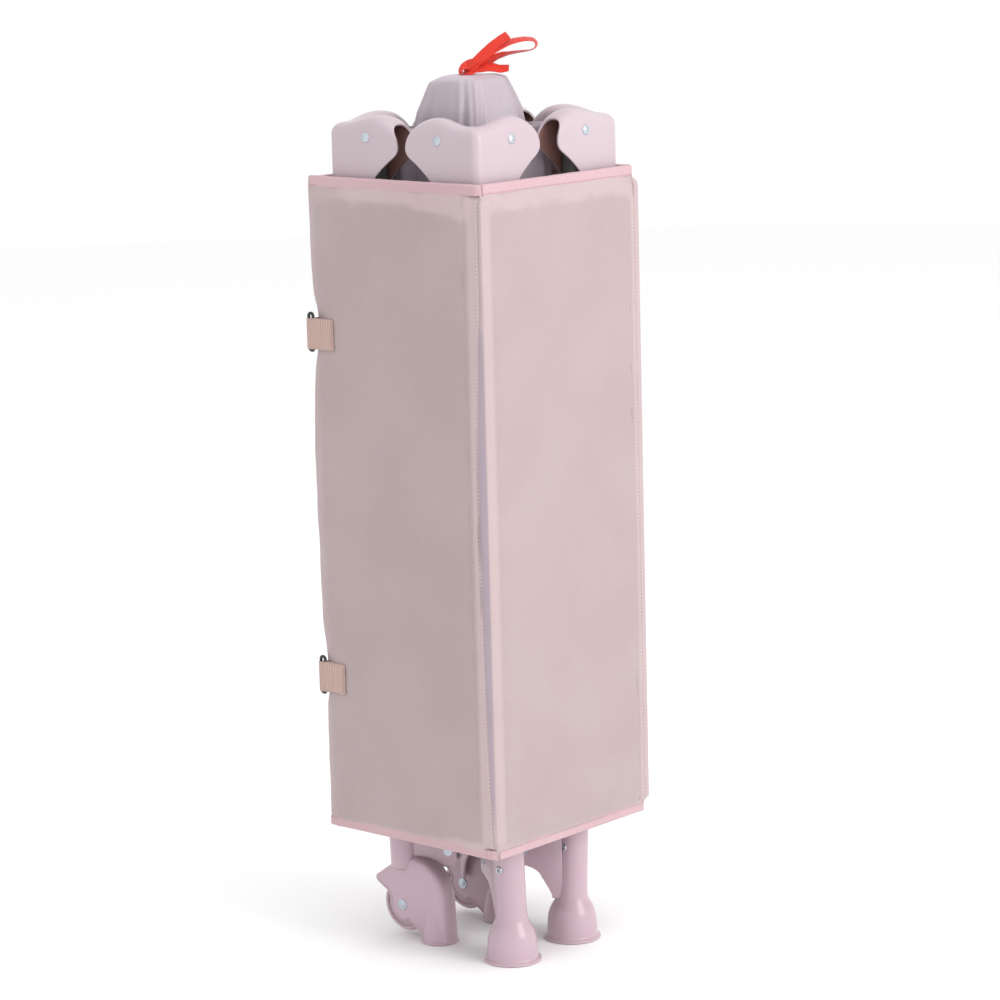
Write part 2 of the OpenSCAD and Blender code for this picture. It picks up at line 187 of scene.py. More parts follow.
def apply_modifiers(obj):
    bpy.context.view_layer.update()
    depsgraph = bpy.context.evaluated_depsgraph_get()
    mesh = bpy.data.meshes.new_from_object(obj.evaluated_get(depsgraph))
    old = obj.data
    obj.modifiers.clear()
    obj.data = mesh
    bpy.data.meshes.remove(old)
    for face in obj.data.polygons:
        face.use_smooth = True


def add_modifier(obj, kind, **settings):
    modifier = obj.modifiers.new(kind.lower(), kind)
    for key, value in settings.items():
        setattr(modifier, key, value)
    return modifier


def thicken(obj, thickness, offset=-1):
    add_modifier(obj, "SOLIDIFY", thickness=thickness, offset=offset, use_even_offset=True)


def smoother(obj, levels=1):
    add_modifier(obj, "SUBSURF", levels=levels, render_levels=levels)


def bent_grid(across, upward, place, closed=False):
    """A grid of quads, each corner moved to place(u, v), with u and v from 0 to 1.
    Its map keeps u and v. A closed one joins its u = 0 and u = 1 edges."""
    bm = bmesh.new()
    bmesh.ops.create_grid(bm, x_segments=across, y_segments=upward, size=0.5, calc_uvs=True)
    layer = bm.loops.layers.uv.verify()
    for face in bm.faces:
        for loop in face.loops:
            loop[layer].uv = (loop.vert.co.x + 0.5, loop.vert.co.y + 0.5)
    for vert in bm.verts:
        vert.co = place(vert.co.x + 0.5, vert.co.y + 0.5)
    if closed:
        bmesh.ops.remove_doubles(bm, verts=bm.verts, dist=0.01 * MM)
    return bm


def spun(profile, steps=48):
    """A solid turned about Z from (radius, height) points in millimetres."""
    bm = bmesh.new()
    verts = [bm.verts.new(mm(r, 0, z)) for r, z in profile]
    edges = [bm.edges.new(pair) for pair in zip(verts, verts[1:])]
    bmesh.ops.spin(
        bm, geom=verts + edges, cent=(0, 0, 0), axis=(0, 0, 1),
        angle=2 * math.pi, steps=steps, use_merge=True,
    )
    tidy(bm)
    return bm


def arc_points(centre, radius, start, end, steps):
    """Points along an arc, with angles in degrees."""
    cx, cy = centre
    turns = [math.radians(start + (end - start) * i / steps) for i in range(steps + 1)]
    return [(cx + radius * math.cos(a), cy + radius * math.sin(a)) for a in turns]


def slab(outline, thickness):
    """A flat plate from an outline in the XY plane, in millimetres, with its middle at z = 0."""
    bm = bmesh.new()
    face = bm.faces.new([bm.verts.new(mm(x, y, -thickness / 2)) for x, y in outline])
    grown = bmesh.ops.extrude_face_region(bm, geom=[face])
    top = [v for v in grown["geom"] if isinstance(v, bmesh.types.BMVert)]
    bmesh.ops.translate(bm, verts=top, vec=(0, 0, thickness * MM))
    bmesh.ops.recalc_face_normals(bm, faces=bm.faces)
    return bm


def soften(bm, width, segments=3, sharper_than=30):
    """Round every edge that turns by more than an angle in degrees."""
    sharp = [e for e in bm.edges if e.is_manifold and e.calc_face_angle() > math.radians(sharper_than)]
    bmesh.ops.bevel(
        bm, geom=sharp, offset=width * MM, segments=segments, profile=0.5,
        affect="EDGES", material=-1, clamp_overlap=True,
    )


def move(bm, matrix):
    bmesh.ops.transform(bm, matrix=matrix, verts=bm.verts)


def join_into(bm, other):
    """Adds another bmesh's faces to this one and frees it."""
    mesh = bpy.data.meshes.new("part")
    other.to_mesh(mesh)
    other.free()
    bm.from_mesh(mesh)
    bpy.data.meshes.remove(mesh)


def finish_piece(obj, body, material, replaces=()):
    obj.data.materials.clear()
    obj.data.materials.append(material)
    if body:
        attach(obj, body)
    if replaces:
        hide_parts(*replaces)
    return obj


# ---- material helpers ----

def srgb(r, g, b):
    """A colour given as 0 to 255, made linear."""
    def linear(c):
        c /= 255
        return c / 12.92 if c <= 0.04045 else ((c + 0.055) / 1.055) ** 2.4
    return (linear(r), linear(g), linear(b))


def add(tree, kind, **inputs):
    """A node of that kind. Inputs are values or sockets to link from; attributes start with an underscore."""
    made = tree.nodes.new(kind)
    for key, value in inputs.items():
        if key.startswith("_"):
            setattr(made, key[1:], value)
    for key, value in inputs.items():
        if key.startswith("_"):
            continue
        socket = made.inputs[int(key[1:])] if key[0] == "i" and key[1:].isdigit() else made.inputs[key]
        if isinstance(value, bpy.types.NodeSocket):
            tree.links.new(value, socket)
        else:
            socket.default_value = value
    return made


def maths(tree, operation, a, b=0.0, clamp=False):
    return add(tree, "ShaderNodeMath", _operation=operation, _use_clamp=clamp, i0=a, i1=b).outputs[0]


def mixed(tree, factor, a, b, blend="MIX"):
    """One colour over another by a factor."""
    made = add(tree, "ShaderNodeMix", _data_type="RGBA", _blend_type=blend)
    for index, value in ((0, factor), (6, a), (7, b)):
        if isinstance(value, bpy.types.NodeSocket):
            tree.links.new(value, made.inputs[index])
        elif index:
            made.inputs[index].default_value = (*value, 1)
        else:
            made.inputs[index].default_value = value
    return made.outputs[2]


def span(tree, value, low, high, to_low=0.0, to_high=1.0):
    made = add(tree, "ShaderNodeMapRange", _interpolation_type="SMOOTHSTEP", Value=value)
    for name, number in (("From Min", low), ("From Max", high), ("To Min", to_low), ("To Max", to_high)):
        made.inputs[name].default_value = number
    return made.outputs[0]


def new_group(name, inputs, outputs):
    """A node group with inputs (name, kind, default) and outputs (name, kind), and its two end nodes."""
    group = bpy.data.node_groups.new(name, "ShaderNodeTree")
    for label, kind, default in inputs:
        socket = group.interface.new_socket(name=label, in_out="INPUT", socket_type="NodeSocket" + kind)
        if default is not None:
            socket.default_value = default
    for label, kind in outputs:
        group.interface.new_socket(name=label, in_out="OUTPUT", socket_type="NodeSocket" + kind)
    return group, group.nodes.new("NodeGroupInput").outputs, group.nodes.new("NodeGroupOutput").inputs


def make_cloth_plane():
    """Coordinates that lie flat on an upright cloth: across it, up it, and through it."""
    group, given, out = new_group("cloth_plane", [("Vector", "Vector", None)], [("Vector", "Vector")])
    parts = add(group, "ShaderNodeSeparateXYZ", Vector=given["Vector"]).outputs
    across = maths(group, "ADD", parts[0], parts[1])
    through = maths(group, "SUBTRACT", parts[0], parts[1])
    flat = add(group, "ShaderNodeCombineXYZ", X=across, Y=parts[2], Z=through)
    group.links.new(flat.outputs[0], out["Vector"])
    return group


def make_weave():
    """A plain weave: threads pass over and under each other."""
    group, given, out = new_group(
        "weave", [("Vector", "Vector", None), ("Threads", "Float", 900.0)],
        [("Height", "Float"), ("Gap", "Float")])
    parts = add(group, "ShaderNodeSeparateXYZ", Vector=given["Vector"]).outputs
    turns = maths(group, "MULTIPLY", given["Threads"], math.pi)
    warp = maths(group, "SINE", maths(group, "MULTIPLY", parts[0], turns))
    weft = maths(group, "SINE", maths(group, "MULTIPLY", parts[1], turns))
    over = maths(group, "MULTIPLY", warp, weft)
    height = maths(group, "MULTIPLY_ADD", over, 0.5)
    height.node.inputs[2].default_value = 0.5
    edge = maths(group, "MINIMUM", maths(group, "ABSOLUTE", warp), maths(group, "ABSOLUTE", weft))
    group.links.new(height, out["Height"])
    group.links.new(span(group, edge, 0.0, 0.4, 1.0, 0.0), out["Gap"])
    return group


def make_mottle():
    """Soft uneven patches, broad and fine, from 0 to 1."""
    group, given, out = new_group(
        "mottle", [("Vector", "Vector", None), ("Broad", "Float", 9.0), ("Fine", "Float", 140.0)],
        [("Broad", "Float"), ("Fine", "Float")])
    broad = add(group, "ShaderNodeTexNoise", Vector=given["Vector"], Scale=given["Broad"], Detail=3.0)
    fine = add(group, "ShaderNodeTexNoise", Vector=given["Vector"], Scale=given["Fine"], Detail=4.0)
    group.links.new(span(group, broad.outputs[0], 0.3, 0.7), out["Broad"])
    group.links.new(span(group, fine.outputs[0], 0.25, 0.75), out["Fine"])
    return group


def make_scuffs():
    """Thin rubbed marks and dust that gather towards the floor."""
    group, given, out = new_group(
        "scuffs", [("Vector", "Vector", None), ("Reach", "Float", 0.05)], [("Mask", "Float")])
    streaks = add(group, "ShaderNodeMapping", Vector=given["Vector"])
    streaks.inputs["Scale"].default_value = (260, 260, 60)
    marks = add(group, "ShaderNodeTexNoise", Vector=streaks.outputs[0], Scale=1.0, Detail=5.0)
    height = add(group, "ShaderNodeSeparateXYZ", Vector=given["Vector"]).outputs[2]
    low = maths(group, "SUBTRACT", 1.0, maths(group, "DIVIDE", height, given["Reach"]), clamp=True)
    mask = maths(group, "MULTIPLY", span(group, marks.outputs[0], 0.52, 0.7), low)
    group.links.new(mask, out["Mask"])
    return group


GROUPS = {
    "plane": make_cloth_plane(), "weave": make_weave(), "mottle": make_mottle(), "scuffs": make_scuffs(),
}


def use_group(tree, name, **inputs):
    made = tree.nodes.new("ShaderNodeGroup")
    made.node_tree = GROUPS[name]
    for key, value in inputs.items():
        if isinstance(value, bpy.types.NodeSocket):
            tree.links.new(value, made.inputs[key])
        else:
            made.inputs[key].default_value = value
    return made.outputs


def new_material(name, **sockets):
    """A material, its tree and its Principled shader, with constant socket values."""
    material = bpy.data.materials.new(name)
    material.use_nodes = True
    tree = material.node_tree
    shader = tree.nodes["Principled BSDF"]
    for key, value in sockets.items():
        shader.inputs[key.replace("_", " ")].default_value = value
    return material, tree, shader


def plain_material(name, colour, roughness):
    material, _, shader = new_material(name, Roughness=roughness)
    shader.inputs["Base Color"].default_value = (*colour, 1)
    return material


def bump(tree, shader, height, distance, strength=1.0, under=None):
    made = add(tree, "ShaderNodeBump", Height=height, Distance=distance, Strength=strength)
    if under is not None:
        tree.links.new(under, made.inputs["Normal"])
    tree.links.new(made.outputs[0], shader.inputs["Normal"])
    return made.outputs[0]


def cloth_material(
        name, colour, patch, threads, roughness, sheen=0.25, tint=(1, 1, 1), depth=0.00006, on_map=False):
    """Woven cloth: two near colours in soft patches, a plain weave with painted shade in its gaps, and a soft
    sheen.
    """
    material, tree, shader = new_material(
        name, Sheen_Weight=sheen, Sheen_Roughness=0.45, Sheen_Tint=(*tint, 1), Specular_IOR_Level=0.35)
    place = tree.nodes.new("ShaderNodeTexCoord").outputs
    flat = place["UV"] if on_map else use_group(tree, "plane", Vector=place["Object"])["Vector"]
    weave = use_group(tree, "weave", Vector=flat, Threads=threads)
    mottle = use_group(tree, "mottle", Vector=place["Object"], Broad=11.0, Fine=420.0)
    base = mixed(tree, mottle["Broad"], colour, patch)
    # Painted shade: the gaps between threads take a deeper colour.
    gap_shade_colour = tuple(c * 0.78 for c in patch)
    seen = mixed(tree, maths(tree, "MULTIPLY", weave["Gap"], 0.35), base, gap_shade_colour)
    paler = tuple(min(1, c * 1.2) for c in colour)
    slub = mixed(tree, maths(tree, "MULTIPLY", mottle["Fine"], 0.12), seen, paler)
    tree.links.new(slub, shader.inputs["Base Color"])
    uneven = span(tree, mottle["Broad"], 0, 1, roughness - 0.05, roughness + 0.06)
    tree.links.new(uneven, shader.inputs["Roughness"])
    coarse = bump(tree, shader, mottle["Fine"], 0.0001, 0.35)
    bump(tree, shader, weave["Height"], depth, 0.8, coarse)
    return material


def cover_material(name):
    """The cover's cloth, with painted shade where its board lies under the cloth and a painted violet sheen
    in the flat band beside the seam.
    """
    material = cloth_material(
        name, srgb(189, 170, 171), srgb(185, 165, 166), 1500, 0.56, 0.15, srgb(226, 214, 240))
    tree = material.node_tree
    shader = tree.nodes["Principled BSDF"]
    seen = shader.inputs["Base Color"].links[0].from_socket
    # Painted light: the attribute holds painted shade over the boards (0 to 1) and a painted violet sheen
    # beside the seam (0 to -1).
    behind = tree.nodes.new("ShaderNodeAttribute")
    behind.attribute_name = "behind"
    board = span(tree, behind.outputs["Fac"], 0, 1, 0, 1)
    painted_light = span(tree, behind.outputs["Fac"], 0, -1, 0, 1)
    dark = multiply_node(tree)
    tree.links.new(board, dark.inputs["Factor"])
    tree.links.new(seen, colour_in(dark, "A"))
    painted_sheen_tint = multiply_node(tree)
    tree.links.new(painted_light, painted_sheen_tint.inputs["Factor"])
    tree.links.new(colour_out(dark), colour_in(painted_sheen_tint, "A"))
    # Tints for the painted shade and the painted violet sheen.
    colour_in(dark, "B").default_value = (0.80, 0.81, 0.80, 1)
    colour_in(painted_sheen_tint, "B").default_value = (0.80, 0.83, 0.95, 1)
    tree.links.new(colour_out(painted_sheen_tint), shader.inputs["Base Color"])
    return material


def multiply_node(tree):
    node = tree.nodes.new("ShaderNodeMix")
    node.data_type = "RGBA"
    node.blend_type = "MULTIPLY"
    return node


def colour_in(node, name):
    return [s for s in node.inputs if s.name == name and s.type == "RGBA"][0]


def colour_out(node):
    return [s for s in node.outputs if s.type == "RGBA"][0]


def moulded_material(name, colour, patch, roughness, coat=0.0, grain=0.00003, dusty=0.0, soft=0.0):
    """Moulded plastic: a fine skin grain, slow colour drift, and scuffs near the floor."""
    material, tree, shader = new_material(
        name, Coat_Weight=coat, Coat_Roughness=0.12, Specular_IOR_Level=0.5)
    if soft:
        shader.inputs["Subsurface Weight"].default_value = soft
        shader.inputs["Subsurface Radius"].default_value = (1.0, 0.6, 0.6)
        shader.inputs["Subsurface Scale"].default_value = 0.003
    place = tree.nodes.new("ShaderNodeTexCoord").outputs["Object"]
    mottle = use_group(tree, "mottle", Vector=place, Broad=14.0, Fine=1400.0)
    marks = use_group(tree, "scuffs", Vector=place, Reach=0.06)["Mask"]
    base = mixed(tree, mottle["Broad"], colour, patch)
    worn = mixed(tree, maths(tree, "MULTIPLY", marks, dusty), base, srgb(150, 140, 138))
    tree.links.new(worn, shader.inputs["Base Color"])
    even = span(tree, mottle["Broad"], 0, 1, roughness - 0.03, roughness + 0.05)
    rough = maths(tree, "ADD", even, maths(tree, "MULTIPLY", marks, dusty * 0.4))
    tree.links.new(rough, shader.inputs["Roughness"])
    bump(tree, shader, mottle["Fine"], grain, 0.6)
    return material


def metal_material(name, colour, roughness, metallic, scratch=240.0):
    """Plated or coated metal with fine scratches."""
    material, tree, shader = new_material(name, Metallic=metallic)
    place = tree.nodes.new("ShaderNodeTexCoord").outputs["Object"]
    lines = add(tree, "ShaderNodeMapping", Vector=place)
    lines.inputs["Scale"].default_value = (scratch * 4, scratch * 4, scratch)
    fine = add(tree, "ShaderNodeTexNoise", Vector=lines.outputs[0], Scale=1.0, Detail=4.0)
    mottle = use_group(tree, "mottle", Vector=place, Broad=60.0, Fine=900.0)
    tree.links.new(
        mixed(tree, mottle["Broad"], colour, tuple(c * 0.82 for c in colour)), shader.inputs["Base Color"])
    tree.links.new(
        span(tree, fine.outputs[0], 0.3, 0.7, roughness, roughness + 0.16), shader.inputs["Roughness"])
    bump(tree, shader, fine.outputs[0], 0.00002, 0.5)
    return material


def ribbed_material(name, colour, groove_shade_colour, pitch, roughness, sheen=0.2, across="Y"):
    """A woven band with raised ribs and painted shade in the hollows between them, read from the band's own
    map in metres.
    """
    material, tree, shader = new_material(name, Sheen_Weight=sheen, Specular_IOR_Level=0.3)
    place = tree.nodes.new("ShaderNodeTexCoord").outputs
    parts = add(tree, "ShaderNodeSeparateXYZ", Vector=place["UV"]).outputs
    rib = maths(tree, "SINE", maths(tree, "MULTIPLY", parts[across], 2 * math.pi / pitch))
    other = "X" if across == "Y" else "Y"
    cross = maths(tree, "SINE", maths(tree, "MULTIPLY", parts[other], 2 * math.pi / (pitch * 0.6)))
    height = maths(tree, "ADD", maths(tree, "MULTIPLY", rib, 0.7), maths(tree, "MULTIPLY", cross, 0.3))
    mottle = use_group(tree, "mottle", Vector=place["Object"], Broad=40.0, Fine=900.0)
    # Painted shade: the hollows between ribs take the deeper second colour.
    rib_shaded_colour = mixed(tree, span(tree, height, -0.7, 0.5), groove_shade_colour, colour)
    tree.links.new(
        mixed(tree, maths(tree, "MULTIPLY", mottle["Broad"], 0.3), rib_shaded_colour, tuple(c * 0.85 for c in colour)),
        shader.inputs["Base Color"])
    uneven = span(tree, mottle["Fine"], 0, 1, roughness - 0.05, roughness + 0.08)
    tree.links.new(uneven, shader.inputs["Roughness"])
    bump(tree, shader, height, 0.00018, 0.8)
    return material


def board_material(name):
    material, tree, shader = new_material(name, Roughness=0.7)
    place = tree.nodes.new("ShaderNodeTexCoord").outputs["Object"]
    mottle = use_group(tree, "mottle", Vector=place, Broad=60.0, Fine=900.0)
    base = mixed(tree, mottle["Broad"], srgb(150, 112, 78), srgb(126, 92, 62))
    tree.links.new(mixed(tree, mottle["Fine"], base, srgb(170, 134, 98)), shader.inputs["Base Color"])
    bump(tree, shader, mottle["Fine"], 0.0002, 0.5)
    return material


make_camera()
make_floor()
make_studio()

COVER = cover_material("cover_cloth")
TAPE = cloth_material("binding_tape", srgb(195, 164, 169), srgb(190, 158, 164), 1800, 0.6, 0.2)
CAP = moulded_material("cap_plastic", srgb(187, 171, 178), srgb(185, 168, 175), 0.33, 0.15)
# Painted shade: the caps' inner faces get a deeper, redder copy of the cap plastic, standing in for shade and
# light bounced inside.
CAP_PAINTED_SHADE = moulded_material("cap_painted_shade", srgb(158, 118, 112), srgb(150, 110, 104), 0.5)
FOOT = moulded_material("foot_plastic", srgb(187, 162, 173), srgb(184, 158, 169), 0.32, 0.4)
WHEEL = moulded_material("wheel_plastic", srgb(184, 160, 168), srgb(176, 152, 160), 0.34, 0.1, dusty=0.3)
LATCH = moulded_material("latch_plastic", srgb(150, 148, 146), srgb(140, 138, 137), 0.5, grain=0.00008)
TUBE = metal_material("tube_coating", srgb(98, 102, 97), 0.42, 0.25)
ZINC = metal_material("rivet_zinc", srgb(196, 204, 214), 0.29, 0.95, 400.0)
SATIN = cloth_material(
    "satin_cloth", srgb(178, 166, 174), srgb(170, 158, 167), 2400, 0.42, 0.3, srgb(240, 225, 235), 0.00003)
NET = cloth_material("net_cloth", srgb(96, 72, 70), srgb(76, 56, 55), 700, 0.75, 0.1, depth=0.0002)
# The second colour of each ribbed band is painted shade for the hollows between its ribs.
WEBBING = ribbed_material("strap_webbing", srgb(200, 172, 162), srgb(160, 130, 122), 0.0014, 0.7)
RIBBON = ribbed_material("ribbon_satin", srgb(228, 50, 27), srgb(196, 34, 18), 0.0011, 0.36, 0.1)
RING = moulded_material("ring_plastic", srgb(30, 27, 28), srgb(22, 20, 21), 0.2, 0.3)
THREAD = cloth_material("white_thread", srgb(243, 236, 238), srgb(235, 226, 230), 4000, 0.6)
TAPE_THREAD = cloth_material("tape_thread", srgb(176, 128, 139), srgb(168, 120, 131), 4000, 0.6)
BOARD = board_material("hardboard")

# ---- corner caps ----

CAP_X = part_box("cap_front_right")[1].x / MM
CAP_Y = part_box("cap_rear_right")[1].y / MM
CAP_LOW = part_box("cap_front_right")[0].z / MM + 8
WING_W = 26
WING_L = 84
RIVET_S = 46
RIVET_Z = 747
CAP_WALL = 2.3
CORNERS = {
    "front_left": (-1, -1), "front_right": (1, -1), "rear_left": (-1, 1), "rear_right": (1, 1),
}
# How far out each level of a wing reaches, from its low edge to its crown
WING_RIM = [
    (0, 50), (0.1, 51.5), (0.18, 54), (0.27, 60), (0.36, 66.5), (0.44, 72), (0.53, 78), (0.61, 81.8),
    (0.68, 83.6), (0.74, 84), (0.82, 83.2), (0.9, 80.5), (0.96, 77.5), (1.0, 75),
]


def wing_crown(s):
    """Height of a wing's crown at a distance from the cap's corner."""
    if s < RIVET_S:
        return 759.5 + 6.5 * ease(s / RIVET_S)
    return 766 - 12.5 * ((s - RIVET_S) / (WING_L - RIVET_S)) ** 2.2


def cap_section(v):
    """Across the arch: how far across from 0 to 1, how high on the walls, and how high in the arch."""
    wall = 0.34
    if v < wall:
        return 0.0, v / wall, 0.0
    if v > 1 - wall:
        return 1.0, (1 - v) / wall, 0.0
    a = (v - wall) / (1 - 2 * wall)
    power = 2 / 2.5
    c, s = math.cos(math.pi * a), math.sin(math.pi * a)
    return 0.5 - 0.5 * math.copysign(abs(c) ** power, c), 1.0, abs(s) ** power


def cap_point(sx, sy, u, v):
    turn_half = 0.07
    across, wall, arch = cap_section(v)
    level = 0.8 * wall + 0.2 * arch
    reach = ramp(WING_RIM, level)
    corner = 8 * (1 - across) + 30 * across
    radius = 8 * (1 - across) + 4 * across
    if abs(u - 0.5) <= turn_half:
        angle = math.pi / 2 * (u - 0.5 + turn_half) / (2 * turn_half)
        run = 0
        a = corner - radius * math.cos(angle)
        b = corner - radius * math.sin(angle)
    else:
        run = (abs(u - 0.5) - turn_half) / (0.5 - turn_half)
        out = corner + run * (reach - corner)
        side = corner - radius
        a, b = (side, out) if u < 0.5 else (out, side)
    crown = wing_crown(run * reach)
    height = CAP_LOW + (crown - 11 - CAP_LOW) * wall + 11 * arch
    return mm(sx * (CAP_X - a), sy * (CAP_Y - b), height)


def outward_from(bm, core):
    """Turns an open sheet so that its faces look away from a point."""
    bm.normal_update()
    lean = sum((f.calc_center_median() - core).dot(f.normal) * f.calc_area() for f in bm.faces)
    if lean < 0:
        bmesh.ops.reverse_faces(bm, faces=bm.faces)


def make_cap(corner, sx, sy):
    bm = bent_grid(72, 40, lambda u, v: cap_point(sx, sy, u, v))
    outward_from(bm, mm(sx * (CAP_X - 20), sy * (CAP_Y - 20), CAP_LOW + 20))
    cap = new_object("corner_cap_" + corner, bm)
    # The inner side of the solidified shell takes the second material, the painted shade.
    add_modifier(
        cap, "SOLIDIFY", thickness=CAP_WALL * MM, offset=-1, use_even_offset=True, material_offset=1)
    add_modifier(cap, "BEVEL", width=0.5 * MM, segments=2, limit_method="ANGLE", angle_limit=math.radians(50))
    smoother(cap)
    socket = spun([(12.9, 0), (15, 0), (15, 56), (14.4, 58), (12.9, 58), (12.9, 0)], 32)
    top = Vector((sx * 77, sy * 69, 750))
    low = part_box("leg_" + corner)
    foot = (low[0] + low[1]) / 2 / MM
    lean = Vector((2 * (top.x - foot.x), 2 * (top.y - foot.y), (low[1].z - low[0].z) / MM)).normalized()
    turn = Vector((0, 0, 1)).rotation_difference(lean).to_matrix().to_4x4()
    move(socket, Matrix.Translation((top - lean * 54) * MM) @ turn)
    boss = new_object("cap_socket_" + corner, socket)
    finish_piece(boss, "frame", CAP)
    finish_piece(cap, "frame", CAP, ["cap_" + corner])
    # Second slot: the painted shade for the inner faces.
    cap.data.materials.append(CAP_PAINTED_SHADE)


# ---- rivets ----

def rivet_head(radius):
    """A domed rivet head that stands on z = 0, in millimetres."""
    r = radius
    return spun([
        (0, 1.55), (0.3 * r, 1.48), (0.5 * r, 1.2), (0.6 * r, 0.86), (0.66 * r, 0.78), (0.74 * r, 0.95),
        (0.88 * r, 0.86), (0.97 * r, 0.5), (r, 0.1), (r, 0), (0, 0),
    ], 28)


def rivet_between(bm, place, axis, grip, radius):
    """Two heads and the shank of one rivet."""
    turn = Vector((0, 0, 1)).rotation_difference(axis).to_matrix().to_4x4()
    for side in SIDES:
        head = rivet_head(radius)
        flip = Matrix.Identity(4) if side > 0 else Matrix.Rotation(math.pi, 4, "X")
        move(head, Matrix.Translation(place * MM + axis * (side * grip / 2 * MM)) @ turn @ flip)
        join_into(bm, head)
    shank = spun([(0, -grip / 2), (2.5, -grip / 2), (2.5, grip / 2), (0, grip / 2)], 16)
    move(shank, Matrix.Translation(place * MM) @ turn)
    join_into(bm, shank)


def make_rail_rivets():
    bm = bmesh.new()
    x_line, y_line = CAP_X - WING_W / 2, CAP_Y - WING_W / 2
    for sx, sy in CORNERS.values():
        beside = Vector((sx * x_line, sy * (CAP_Y - RIVET_S), RIVET_Z))
        ahead = Vector((sx * (CAP_X - RIVET_S), sy * y_line, RIVET_Z))
        rivet_between(bm, beside, Vector((1, 0, 0)), WING_W, 4.5)
        rivet_between(bm, ahead, Vector((0, 1, 0)), WING_W, 4.5)
    finish_piece(new_object("cap_rivets", bm), "frame", ZINC, ["rail_rivets"])


# ---- feet ----

def leg_centre(corner, z):
    """Middle of a leg at a height, in millimetres, from the CAD leg's two ends."""
    low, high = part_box("leg_" + corner)
    sx, sy = CORNERS[corner]
    half = 12.5
    ends = ((low.x / MM + half, high.x / MM - half), (low.y / MM + half, high.y / MM - half))
    bottom = [pair[0] if s > 0 else pair[1] for pair, s in zip(ends, (sx, sy))]
    top = [pair[1] if s > 0 else pair[0] for pair, s in zip(ends, (sx, sy))]
    t = (z - low.z / MM) / ((high.z - low.z) / MM)
    return [b + (a - b) * t for a, b in zip(top, bottom)]


def lean_with(bm, corner, from_z):
    """Slides each level of an upright shape sideways onto its leg's line, above a height."""
    base = leg_centre(corner, from_z)
    for vert in bm.verts:
        x, y = leg_centre(corner, max(from_z, vert.co.z / MM))
        vert.co.x += (x - base[0]) * MM
        vert.co.y += (y - base[1]) * MM


FOOT_PROFILE = [
    (0, 0), (25.4, 0), (26.2, 0.5), (26.5, 1.3), (26.2, 2.2), (25.2, 2.9), (23.7, 3.4), (23.2, 4.6),
    (23.2, 9), (23.0, 15), (22.4, 21), (21.3, 26), (19.6, 30.4), (17.6, 33.8), (15.8, 36.6), (14.7, 39.6),
    (14.2, 43.5), (14.0, 52), (14.0, 80), (14.0, 126), (12.9, 126), (12.9, 60), (0, 60),
]


def clevis_web(corner, reach):
    """The web that carries a floor rail's lower pivot: a thick plate with a hollow curved lower edge."""
    outline = [(6, 40)]
    outline += arc_points((reach + 10, 38), 33, 178, 96, 10)
    outline += [(reach + 9, 71), (reach + 11, 74), (reach + 11, 96), (reach + 8, 99), (6, 99)]
    web = slab(outline, 2.6)
    soften(web, 0.9, 3)
    fx, fy = FOOT_CENTRE[corner]
    rail_low, rail_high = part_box("floor_rail_" + corner)
    rail = (rail_low + rail_high) / 2 / MM
    turn = math.atan2(rail.y - fy, rail.x - fx)
    both = bmesh.new()
    for side in SIDES:
        copy = web.copy()
        move(copy, Matrix.Translation(mm(fx, fy, 0)) @ Matrix.Rotation(turn, 4, "Z")
             @ Matrix.Translation(mm(0, side * 9.7, 0)) @ Matrix.Rotation(math.pi / 2, 4, "X"))
        join_into(both, copy)
    web.free()
    return both


FOOT_CENTRE = {corner: leg_centre(corner, 30) for corner in CORNERS}


def make_plain_foot(corner, node):
    fx, fy = FOOT_CENTRE[corner]
    bm = spun(FOOT_PROFILE, 56)
    move(bm, Matrix.Translation(mm(fx, fy, 0)))
    lean_with(bm, corner, 30)
    join_into(bm, clevis_web(corner, 39))
    foot = new_object("plain_" + node, bm)
    smoother(foot)
    finish_piece(foot, "frame", FOOT, [node])


def make_eyelets():
    """The tubular rivets that pin the feet to their legs."""
    bm = bmesh.new()
    for corner in ("front_left", "front_right"):
        x, y = leg_centre(corner, 88)
        ring = spun([
            (1.7, -1), (1.7, 0.5), (2.0, 1.0), (2.8, 1.1), (3.4, 0.7), (3.5, 0), (3.4, -1), (1.7, -1)], 24)
        move(ring, Matrix.Translation(mm(x - 14.0, y, 88)) @ Matrix.Rotation(-math.pi / 2, 4, "Y"))
        join_into(bm, ring)
    finish_piece(new_object("foot_pins", bm), "frame", ZINC, ["foot_eyelets"])


AXLE_LOW, AXLE_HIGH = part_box("wheel_left")
AXLE_Y = (AXLE_LOW.y + AXLE_HIGH.y) / 2 / MM
AXLE_Z = (AXLE_LOW.z + AXLE_HIGH.z) / 2 / MM
WHEEL_R = (AXLE_HIGH.y - AXLE_LOW.y) / 2 / MM
WHEEL_T = (AXLE_HIGH.x - AXLE_LOW.x) / MM
CHEEK = 10.5


def fender_outline(inset):
    """Side view of a wheel foot's hood, with its Y from the axle and its Z from the floor."""
    hub_y, hub_z, r = -13, AXLE_Z + 10, 38 - inset
    points = arc_points((hub_y, hub_z), r, 52, 180, 26)
    points += [(-51.3 + inset, 36), (-51.8 + inset, 24), (-52.6 + inset, 12), (-53.3 + inset, 1.5)]
    points += [(-42, 1.5), (-31, 1.5), (-24, 8), (-14, 14.5), (-6, 19)]
    points += arc_points((0, AXLE_Z), 14, -115, 20, 12)
    points += [(18, 42.5), (24, 46), (30, 49.5), (33, 51), (32, 55)]
    points += [(26, 60.5 - inset * 0.6), (18, 66 - inset * 0.8)]
    return points


